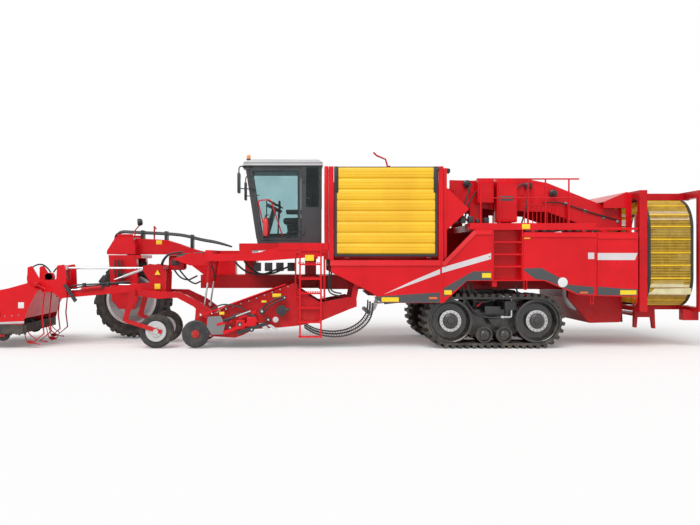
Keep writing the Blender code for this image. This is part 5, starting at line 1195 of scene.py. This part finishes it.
def platform_rails():
    """Handrails, tread nubs and a label beside the cab's steps."""
    low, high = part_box("cab_ladder")
    y = low.y + 0.016
    loops = []
    for x, foot, head in ((-0.80, 1.02, 1.98), (-0.215, 1.00, 1.98)):
        loops.append(bent_tube([(x + 0.03, y, foot), (x - 0.01, y - 0.03, foot + 0.02),
                                (x - 0.01, y - 0.03, head - 0.02),
                                (x + 0.03, y, head)], 0.011, bend=0.04))
    treads = []
    for z in (0.25, 0.55, 0.845, 1.155, 1.45, 1.75, 2.03):
        nub = block((low.x + 0.05, low.y + 0.002, z - 0.012), (low.x + 0.07, high.y - 0.002, z + 0.026),
                    edge=0.003)
        treads += shifted(nub, [(0.035 * i, 0, 0) for i in range(13)])
    label = sheet_metal(rectangle(-0.61, -0.43, 1.80, 1.92), low.y - 0.006, low.y + 0.004, edge=0.001)
    return piece_of("ladder_fittings", "chassis",
                    [(RED, loops + treads), (LABEL, [label])])


# ---------------------------------------------------------------- haulm topper


def topper_trim():
    """Rim strip, rubber flaps, lifter loops, motor, hose loops and guards on the haulm topper."""
    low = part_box("topper_housing")[0]
    y = low.y
    strip = [sheet_metal([(low.x + 0.06, 0.475), (-6.36, 0.52), (-6.36, 0.565), (low.x + 0.06, 0.52)],
                         y - 0.006, y + 0.006)]
    flap = block((0.0, y + 0.004, 0.30), (0.052, y + 0.016, 0.49), edge=0.004)
    flaps = shifted(flap, [(low.x + 0.14 + 0.058 * i, 0, -0.012 * (i % 3)) for i in range(20)])
    cross_flap = block((low.x + 0.03, 0.0, 0.31), (low.x + 0.045, 0.07, 0.50), edge=0.004)
    flaps += shifted(cross_flap, [(0, y + 0.05 + 0.076 * i, 0) for i in range(29)])
    loops = []
    for x, foot_y in ((-6.30, -1.50), (-6.10, -0.65), (-6.30, 0.15)):
        loops.append(pipe([(x - 0.10, foot_y, 0.42), (x - 0.07, foot_y, 0.20), (x, foot_y, 0.075),
                           (x + 0.16, foot_y, 0.14),
                           (x + 0.13, foot_y + 0.05, 0.20), (x + 0.02, foot_y + 0.08, 0.24),
                           (x - 0.08, foot_y + 0.03, 0.40)],
                          0.010))
        loops.append(sheet_metal([(x - 0.06, 0.15), (x + 0.02, 0.075), (x + 0.14, 0.13), (x + 0.03, 0.16)],
                                 foot_y + 0.02, foot_y + 0.03))
    motor = [turned([(0.08, 0.0), (0.085, 0.01), (0.085, 0.20), (0.07, 0.23), (0.05, 0.24), (0.05, 0.30)],
                    (-6.07, -0.90, 1.46), (0, 1, 0), steps=28),
             block((-6.16, -0.90, 1.38), (-5.98, -0.82, 1.54), edge=0.01)]
    boss = [turned([(0.075, -0.012), (0.075, 0.020), (0.05, 0.030)], (x, y, z), (0, -1, 0), steps=28)
            for x, z in ((-6.92, 0.72), (-7.15, 0.95))]
    plate = [block((-6.48, y - 0.004, 0.83), (-6.36, y + 0.004, 0.95), edge=0.003)]
    hoses = [pipe([(-6.07, -0.75, 1.55), (-6.18, -0.78, 1.74), (-6.40, -0.95, 1.70), (-6.52, -1.05, 1.40),
                   (-6.40, -1.00, 1.18)], 0.016),
             pipe([(-6.02, -0.72, 1.55), (-5.92, -0.70, 1.72), (-5.75, -0.72, 1.60), (-5.68, -0.80, 1.40)],
                  0.016),
             pipe([(-6.00, -0.90, 1.40), (-5.86, -0.95, 1.22), (-5.70, -1.02, 1.16), (-5.62, -1.05, 1.08)],
                  0.016)]
    guard = [sheet_metal([(-5.66, 1.30), (-5.60, 1.32), (-5.36, 0.98), (-5.42, 0.93)], -1.30, -1.26,
                         edge=0.004)]
    bolts = []
    head = turned([(0.016, 0.0), (0.015, 0.006), (0.008, 0.011)], (0, y, 0), (0, -1, 0), steps=12)
    bolts += shifted(head, [(low.x + 0.16 + 0.14 * i, 0, 0.60 + 0.012 * i) for i in range(8)])
    return piece_of("topper_trim", "topper",
                    [(BRIGHT, strip), (HOSE, flaps + hoses), (RED_FRAME, loops + motor + boss),
                     (LABEL_WHITE, plate),
                     (DARK, guard), (GREY_STEEL, bolts)])


def lift_arm_fittings():
    """The topper's lift cylinder, its hoses and their clamps, carried on the lift arms."""
    y = -1.20
    barrel = turned([(0.030, 0.0), (0.038, 0.01), (0.038, 0.42), (0.030, 0.43)], (-5.30, y, 1.205),
                    (1, 0, 0.10), steps=24)
    rod = bar((-5.52, y, 1.185), (-5.28, y, 1.207), 0.016)
    eyes = [turned([(0.035, -0.03), (0.040, 0.0), (0.035, 0.03)], (x, y, z), (0, 1, 0), steps=20)
            for x, z in ((-5.54, 1.183), (-4.86, 1.25))]
    hoses = [pipe([(-5.86, -1.02, 1.04), (-5.60, -1.06, 1.28), (-5.20, -1.08, 1.30), (-4.80, -1.08, 1.32),
                   (-4.30, -1.05, 1.36)], 0.016),
             pipe([(-5.80, -0.98, 1.02), (-5.50, -1.02, 1.24), (-5.10, -1.04, 1.27), (-4.70, -1.04, 1.30),
                   (-4.30, -1.02, 1.33)], 0.014)]
    clamp = block((-5.30, -1.11, 1.22), (-5.24, -1.00, 1.33), edge=0.005)
    clamps = shifted(clamp, [(0, 0, 0), (0.50, 0, 0.02)])
    return piece_of("lift_arm_fittings", "topper_lift_arms",
                    [(RED_FRAME, [barrel]), (BRIGHT, [rod]), (DARK, eyes + clamps), (HOSE, hoses)])


# ---------------------------------------------------------------- gooseneck and steering fork


def neck_hoses():
    """Hydraulic hoses laid over the gooseneck, with their clamps, and the uprights and lamp beside them."""
    hoses = []
    for i in range(5):
        y = 0.62 + 0.055 * i
        rise = 0.018 * (i % 3)
        hoses.append(pipe([(-4.98, y, 2.10), (-5.02, y, 2.34), (-4.90, y, 2.46 + rise),
                           (-4.62, y, 2.44 + rise),
                           (-4.17, y, 2.42 + rise), (-3.71, y, 2.40 + rise), (-3.36, y, 2.36 + rise),
                           (-3.00, y, 2.26 + rise), (-2.60, y, 2.20 + rise), (-2.30, y, 2.12)], 0.019))
    clamps = [block((x, 0.61, foot), (x + 0.06, 0.92, top), edge=0.008)
              for x, foot, top in ((-4.40, 2.29, 2.50), (-3.85, 2.25, 2.48), (-3.25, 2.06, 2.40))]
    lamp = turned([(0.055, 0.0), (0.075, 0.02), (0.085, 0.07), (0.080, 0.10)], (-4.30, 0.30, 2.68),
                  (-1, 0, -0.15), steps=28)
    lens = turned([(0.072, 0.0), (0.070, 0.010), (0.04, 0.014)], (-4.398, 0.30, 2.665), (-1, 0, -0.15),
                  steps=28)
    posts = [bent_tube([(-4.47, 0.30, 2.31), (-4.47, 0.30, 2.48), (-4.33, 0.30, 2.65)], 0.014, bend=0.03),
             bar((-4.09, 0.66, 2.28), (-4.09, 0.66, 2.60), 0.018),
             bar((-4.09, 0.66, 2.59), (-4.04, 0.66, 2.52), 0.014),
             block((-4.86, 0.20, 2.325), (-4.50, 0.26, 2.40), edge=0.006),
             block((-4.86, 1.44, 2.325), (-4.50, 1.50, 2.40), edge=0.006)]
    stickers = [block((-3.96, 0.143, 2.165), (-3.83, 0.149, 2.255), edge=0.002)]
    return piece_of("neck_hoses", "chassis",
                    [(HOSE, hoses), (DARK, clamps), (PLASTIC, [lamp]), (LENS, [lens]), (RED_FRAME, posts),
                     (LABEL, stickers)])


def fork_hoses():
    """Hoses and a cover that run down the steering fork's near leg."""
    y = 0.05
    hoses = [pipe([(-4.86 + 0.07 * i, y, 1.82), (-4.88 + 0.07 * i, y - 0.02, 1.60),
                   (-4.84 + 0.08 * i, y - 0.02, 1.35),
                   (-4.76 + 0.06 * i, y, 1.12)], 0.018) for i in range(3)]
    cover = block((-4.80, y - 0.005, 1.45), (-4.55, y + 0.02, 1.52), edge=0.006)
    return piece_of("fork_hoses", "steering_fork", [(HOSE, hoses), (DARK, [cover])])


# ---------------------------------------------------------------- intake


def intake_side():
    """Ribs, motors, rollers, hoses and labels on the intake's left side plate."""
    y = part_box("intake_frame")[0].y
    out = y - 0.030
    strip = sheet_metal([(-2.66, 0.70), (-1.00, 1.315), (-1.00, 1.34), (-2.67, 0.735)], out, y + 0.01,
                        edge=0.003)
    grey = sheet_metal([(-2.60, 0.66), (-2.33, 0.68), (-2.24, 0.50), (-2.28, 0.30), (-2.52, 0.29),
                        (-2.62, 0.45)],
                       y - 0.010, y + 0.002, edge=0.004)
    rib = sheet_metal([(-2.42, 0.52), (-2.10, 0.60), (-2.08, 0.56), (-2.40, 0.47)], out, y, edge=0.004)
    lower = [block((-2.02, out, 0.40), (-1.84, y, 0.60), edge=0.012),
             block((-1.80, out - 0.02, 0.46), (-1.60, y, 0.66), edge=0.015),
             sheet_metal([(-2.30, 0.36), (-1.60, 0.62), (-1.56, 0.56), (-2.26, 0.30)], out - 0.01, y,
                         edge=0.004),
             sheet_metal([(-1.98, 0.66), (-1.62, 0.80), (-1.60, 0.74), (-1.96, 0.60)], out, y, edge=0.004)]
    motor = [turned([(0.085, 0.0), (0.09, -0.02), (0.11, -0.05), (0.11, -0.07), (0.06, -0.075)],
                    (-1.09, y, 0.79),
                    (0, 1, 0), steps=32),
             bar((-1.02, out - 0.02, 0.80), (-0.93, out - 0.02, 0.81), 0.030, edge=0.004),
             turned([(0.045, 0.0), (0.05, -0.03), (0.03, -0.045)], (-1.67, y, 0.66), (0, 1, 0), steps=24)]
    pale = [turned([(0.055, 0.0), (0.06, -0.03), (0.04, -0.045)], (-1.21, y, 0.60), (0, 1, 0), steps=24),
            sheet_metal([(-1.56, 0.52), (-1.46, 0.54), (-1.30, 0.36), (-1.36, 0.32)], out - 0.01, y - 0.01,
                        edge=0.004),
            sheet_metal([(-1.40, 0.50), (-1.30, 0.50), (-1.16, 0.40), (-1.20, 0.36)], out - 0.01, y - 0.01,
                        edge=0.004)]
    hoses = [pipe([(-1.51, out, 0.74), (-1.44, out - 0.01, 0.90), (-1.26, out - 0.01, 1.00),
                   (-1.12, out, 1.06),
                   (-1.02, out, 1.08)], 0.016),
             pipe([(-1.46, out, 0.72), (-1.38, out - 0.01, 0.86), (-1.22, out - 0.01, 0.95),
                   (-1.12, out, 1.00),
                   (-1.02, out, 1.02)], 0.016),
             pipe([(-2.52, out, 0.80), (-2.36, out - 0.01, 0.92), (-2.10, out - 0.01, 0.90),
                   (-1.86, out, 0.84),
                   (-1.70, out, 0.70)], 0.015),
             pipe([(-2.20, out, 0.52), (-2.10, out - 0.01, 0.70), (-1.90, out - 0.01, 0.74),
                   (-1.68, out, 0.68)], 0.014)]
    for x, z, radius in ((-1.49, 0.77, 0.060), (-1.36, 0.60, 0.050), (-1.94, 0.50, 0.055),
                         (-1.70, 0.40, 0.050),
                         (-2.14, 0.44, 0.045), (-1.03, 1.05, 0.040), (-2.22, 0.82, 0.035)):
        motor.append(turned([(radius, 0.0), (radius, -0.030), (radius * 0.8, -0.040), (radius * 0.5, -0.042)],
                            (x, y, z), (0, 1, 0), steps=24))
        pale.append(turned([(radius * 0.42, -0.040), (radius * 0.40, -0.052), (radius * 0.2, -0.054)],
                           (x, y, z),
                           (0, 1, 0), steps=16))
    motor.append(sheet_metal([(-2.02, 0.36), (-1.40, 0.56), (-1.36, 0.50), (-1.98, 0.29)], out - 0.02, y,
                             edge=0.004))
    pale.append(bar((-2.05, out - 0.02, 0.66), (-1.72, out - 0.02, 0.78), 0.014))
    motor.append(bar((-2.28, out - 0.02, 0.58), (-2.02, out - 0.02, 0.67), 0.028, edge=0.003))
    labels = [block((a, y - 0.006, c), (b, y + 0.002, d), edge=0.001) for a, b, c, d in (
        (-2.36, -2.26, 0.70, 0.76), (-1.50, -1.40, 0.95, 0.99), (-1.275, -1.10, 1.06, 1.13))]
    bolts = []
    head = turned([(0.016, 0.0), (0.015, 0.006), (0.008, 0.010)], (0, y, 0), (0, -1, 0), steps=10)
    bolts += shifted(head, [(-2.40 + 0.16 * i, 0, 0.745 + 0.0585 * i) for i in range(10)])
    return piece_of("intake_side_fittings", "intake",
                    [(RED, [strip, rib] + lower), (GREY_STEEL, [grey] + bolts), (PLASTIC, motor), (RIM, pale),
                     (HOSE, hoses), (LABEL, labels)])


def mast_fittings():
    """Label plates, a hydraulic cylinder with its rod, and a strut in its sleeve on the intake's mast."""
    triangle = sheet_metal([(-3.75, 1.505), (-3.63, 1.505), (-3.69, 1.61)], -1.262, -1.256)
    square = block((-3.75, -1.262, 1.21), (-3.63, -1.256, 1.32), edge=0.001)
    strut = bar((-4.66, -0.92, 1.40), (-4.46, -0.92, 1.47), 0.014)
    sleeve = bar((-4.48, -0.92, 1.463), (-3.90, -0.92, 1.67), 0.028)
    cylinder = bar((-4.30, -1.05, 1.29), (-3.84, -1.05, 1.275), 0.034, edge=0.004)
    rod = bar((-4.54, -1.05, 1.297), (-4.28, -1.05, 1.29), 0.015)
    return piece_of("mast_fittings", "intake",
                    [(LABEL, [triangle, square]), (BRIGHT, [strut, rod]), (RIM, [sleeve]),
                     (RED_FRAME, [cylinder])])


def hydraulic_station():
    """Valve block, hoses and oil coolers under the platform's nose."""
    shells = [block((-3.50, -1.02, 1.60), (-3.16, -0.62, 1.92), edge=0.05)]
    dark = [bar((-3.30, -1.12, 1.86), (-2.74, -1.12, 1.90), 0.085, edge=0.01),
            block((-3.42, -1.04, 1.70), (-3.28, -1.015, 1.82), edge=0.01)]
    hoses = []
    for i in range(4):
        y = -1.14 + 0.05 * i
        hoses.append(pipe([(-3.20, y, 1.98), (-3.42, y, 1.98), (-3.60, y, 1.84), (-3.66, y, 1.60),
                           (-3.62, y, 1.42),
                           (-3.70, y, 1.26)], 0.017))
    hoses += [pipe([(-3.40, -0.90, 1.62), (-3.30, -0.90, 1.45), (-3.10, -0.90, 1.38), (-2.90, -0.90, 1.48)],
                   0.017),
              pipe([(-3.30, -0.84, 1.62), (-3.14, -0.84, 1.40), (-2.96, -0.84, 1.30), (-2.84, -0.84, 1.36)],
                   0.017),
              pipe([(-2.70, -1.22, 1.98), (-2.55, -1.22, 1.70), (-2.50, -1.22, 1.45)], 0.016),
              pipe([(-2.10, -1.10, 1.80), (-1.90, -1.12, 1.55), (-1.50, -1.12, 1.50), (-1.10, -1.10, 1.66)],
                   0.020),
              pipe([(-1.90, -1.00, 1.80), (-1.70, -1.02, 1.52), (-1.30, -1.02, 1.52), (-0.90, -1.00, 1.70)],
                   0.020)]
    blocks = [block((-1.70 + 0.24 * i, -1.08, 1.58), (-1.54 + 0.24 * i, -0.92, 1.76),
                    edge=0.008) for i in range(4)]
    return piece_of("hydraulic_station", "chassis",
                    [(RED_FRAME, shells), (DARK, dark + blocks), (HOSE, hoses)])


def return_web():
    """The digging web's return run, a sagging mat of cross bars under the intake's tail."""
    route = [(-0.62, 0.42), (-0.45, 0.31), (-0.22, 0.245), (0.06, 0.225), (0.32, 0.27), (0.54, 0.38),
             (0.70, 0.53),
             (0.79, 0.72), (0.79, 0.93)]
    places = []
    for (x0, z0), (x1, z1) in zip(route, route[1:]):
        for share in (0.0, 0.2, 0.4, 0.6, 0.8):
            places.append((x0 + (x1 - x0) * share, 0, z0 + (z1 - z0) * share))
    rod = bar((0, -1.42, 0), (0, -0.16, 0), 0.009, sides=8)
    rods = shifted(rod, places)
    belts = [pipe([(x, y, z) for x, z in route], 0.016) for y in (-1.42, -0.79, -0.16)]
    arm = sheet_metal([(0.90, 1.14), (0.98, 1.12), (0.86, 0.80), (0.74, 0.66), (0.68, 0.70), (0.78, 0.84)],
                      -1.32, -1.30, edge=0.004)
    rollers = [bar((0.70, -1.40, 0.74), (0.70, -0.18, 0.74), 0.045)]
    return piece_of("return_web", "chassis",
                    [(BLACK_NET, rods), (HOSE, belts), (RIM, [arm]), (DARK, rollers)])


def under_body():
    """Hoses, cylinder and pipes seen under the side panels."""
    hoses = [pipe([(-0.22, -1.56, 1.90), (-0.10, -1.58, 1.74), (-0.12, -1.58, 1.42), (-0.14, -1.57, 1.20),
                   (-0.06, -1.56, 1.10), (0.10, -1.56, 1.08)], 0.016),
             pipe([(-0.18, -1.54, 1.90), (-0.06, -1.55, 1.72), (-0.08, -1.55, 1.40), (-0.10, -1.54, 1.22),
                   (0.00, -1.53, 1.14), (0.14, -1.53, 1.13)], 0.016)]
    cylinder = bar((1.02, -1.46, 0.94), (1.40, -1.46, 0.98), 0.040, edge=0.004)
    rod = bar((0.84, -1.46, 0.92), (1.04, -1.46, 0.945), 0.018)
    eye = turned([(0.06, -0.03), (0.06, 0.03)], (1.74, -0.95, 0.92), (0, 1, 0), steps=24, edge=0.006)
    duct = pipe([(4.95, -0.85, 1.20), (4.97, -0.85, 1.02), (5.06, -0.85, 0.88), (5.22, -0.85, 0.80),
                 (5.40, -0.85, 0.80)], 0.085)
    return piece_of("under_body_lines", "chassis",
                    [(HOSE, hoses), (DARK, [cylinder, eye]), (BRIGHT, [rod]), (RIM, [duct])])


# ---------------------------------------------------------------- upper deck


def deck_top():
    """Housings, exhaust, lamp, short rails and bolts above the deck."""
    housings = [block((2.96, -1.42, 3.00), (3.30, -1.12, 3.50), edge=0.02),
                block((3.36, -1.42, 2.60), (3.78, -1.12, 3.50), edge=0.012)]
    band = [block((3.38, -1.428, 3.04), (3.70, -1.41, 3.14), edge=0.004)]
    bars = []
    for i in range(6):
        x = 3.90 + 0.085 * i
        bars.append(bar((x, -1.52, 2.57), (x, -1.52, 2.95), 0.010, sides=8))
    bars.append(bar((3.86, -1.52, 2.95), (4.38, -1.52, 2.95), 0.012, sides=8))
    for i in range(6):
        x = 4.44 + 0.085 * i
        bars.append(bar((x, -1.30, 2.57), (x, -1.30, 2.90), 0.010, sides=8))
    exhaust = turned([(0.075, 0.0), (0.085, 0.03), (0.085, 0.20), (0.070, 0.24), (0.080, 0.28), (0.078, 0.36),
                      (0.05, 0.40)],
                     (5.35, -0.90, 2.60), (0, 0, 1), steps=32)
    lamp = [turned([(0.04, 0.0), (0.055, 0.02), (0.055, 0.07)], (2.30, -1.45, 3.66), (0.6, -0.7, -0.2),
                   steps=24),
            bar((2.24, -1.45, 3.62), (2.32, -1.45, 3.68), 0.012)]
    heads = []
    head = turned([(0.040, 0.0), (0.038, 0.010), (0.02, 0.018)], (0, -1.05, 0), (0, -1, 0), steps=20)
    heads += shifted(head, [(4.90, 0, 3.00), (5.31, 0, 2.85), (5.71, 0, 2.71), (6.00, 0, 2.62)])
    labels = [block((3.816, LEFT_SKIN - 0.004, 2.45), (3.98, LEFT_SKIN + 0.002, 2.55), edge=0.001)]
    drives = []
    for x, z in ((2.80, 3.42), (3.12, 3.26), (4.10, 3.38), (4.62, 3.22)):
        drives.append(turned([(0.075, 0.0), (0.080, 0.02), (0.080, 0.07), (0.05, 0.085), (0.035, 0.12)],
                             (x, -1.05, z),
                             (0, -1, 0), steps=24))
    lines = [pipe([(2.62, -1.46, 2.62), (2.66, -1.48, 2.90), (2.74, -1.46, 3.16), (2.84, -1.30, 3.40)],
                  0.018),
             pipe([(2.68, -1.46, 2.62), (2.72, -1.48, 2.88), (2.82, -1.46, 3.08), (2.96, -1.30, 3.24)],
                  0.018),
             pipe([(3.86, -1.46, 2.58), (3.96, -1.44, 2.86), (4.02, -1.30, 3.10), (4.08, -1.16, 3.34)],
                  0.018),
             pipe([(3.80, -1.10, 3.30), (3.95, -1.10, 3.42), (4.05, -1.12, 3.40)], 0.018),
             pipe([(4.40, -1.10, 3.02), (4.70, -1.10, 3.06), (5.10, -1.08, 2.92), (5.60, -1.08, 2.76),
                   (5.98, -1.06, 2.66)],
                  0.015)]
    stays = [bar((2.50, -1.30, 2.58), (2.50, -1.30, 3.28), 0.030, edge=0.003),
             bar((2.42, -1.25, 3.00), (2.80, -1.25, 2.62), 0.022),
             bar((4.92, -1.12, 2.58), (4.92, -1.12, 3.0), 0.024)]
    trays = [block((2.44 + 0.16 * i, -1.50, 2.575), (2.54 + 0.16 * i, -1.34, 2.66 + 0.03 * (i % 3)),
                   edge=0.008)
             for i in range(5)]
    return piece_of("deck_housings", "chassis",
                    [(RED, housings), (CHARCOAL, band), (RED_FRAME, bars + stays),
                     (GREY_STEEL, [exhaust] + heads),
                     (PLASTIC, lamp + drives), (HOSE, lines), (DARK, trays), (LABEL, labels)])


def bunker_fittings():
    """Corner posts and stiffeners on the bunker's outside."""
    posts = [block((-0.215, -1.60, 1.83), (-0.135, -1.50, 3.74), edge=0.008),
             block((2.225, -1.60, 1.83), (2.295, -1.50, 3.70), edge=0.008)]
    ribs = []
    for x in (0.3, 0.8, 1.3, 1.8):
        ribs.append(block((x - 0.03, 1.60, 2.0), (x + 0.03, 1.645, 3.66), edge=0.006))
    return piece_of("bunker_posts", "chassis", [(RED, posts + ribs)])


# ---------------------------------------------------------------- build


def build():
    set_stage()
    dress_frame()
    front_tyre()
    front_hub()
    track_hubs()
    track_hydraulics()
    small_wheels()
    side_stripes()
    speed_plate()
    panel_fasteners()
    door_latches()
    panel_lips()
    unloading_slats()
    conveyor_chains()
    ring_web()
    cab_outside()
    mirrors()
    cab_inside()
    cab_controls()
    cab_door_trim()
    platform_rails()
    topper_trim()
    lift_arm_fittings()
    neck_hoses()
    fork_hoses()
    intake_side()
    mast_fittings()
    hydraulic_station()
    return_web()
    under_body()
    deck_top()
    bunker_fittings()


build()
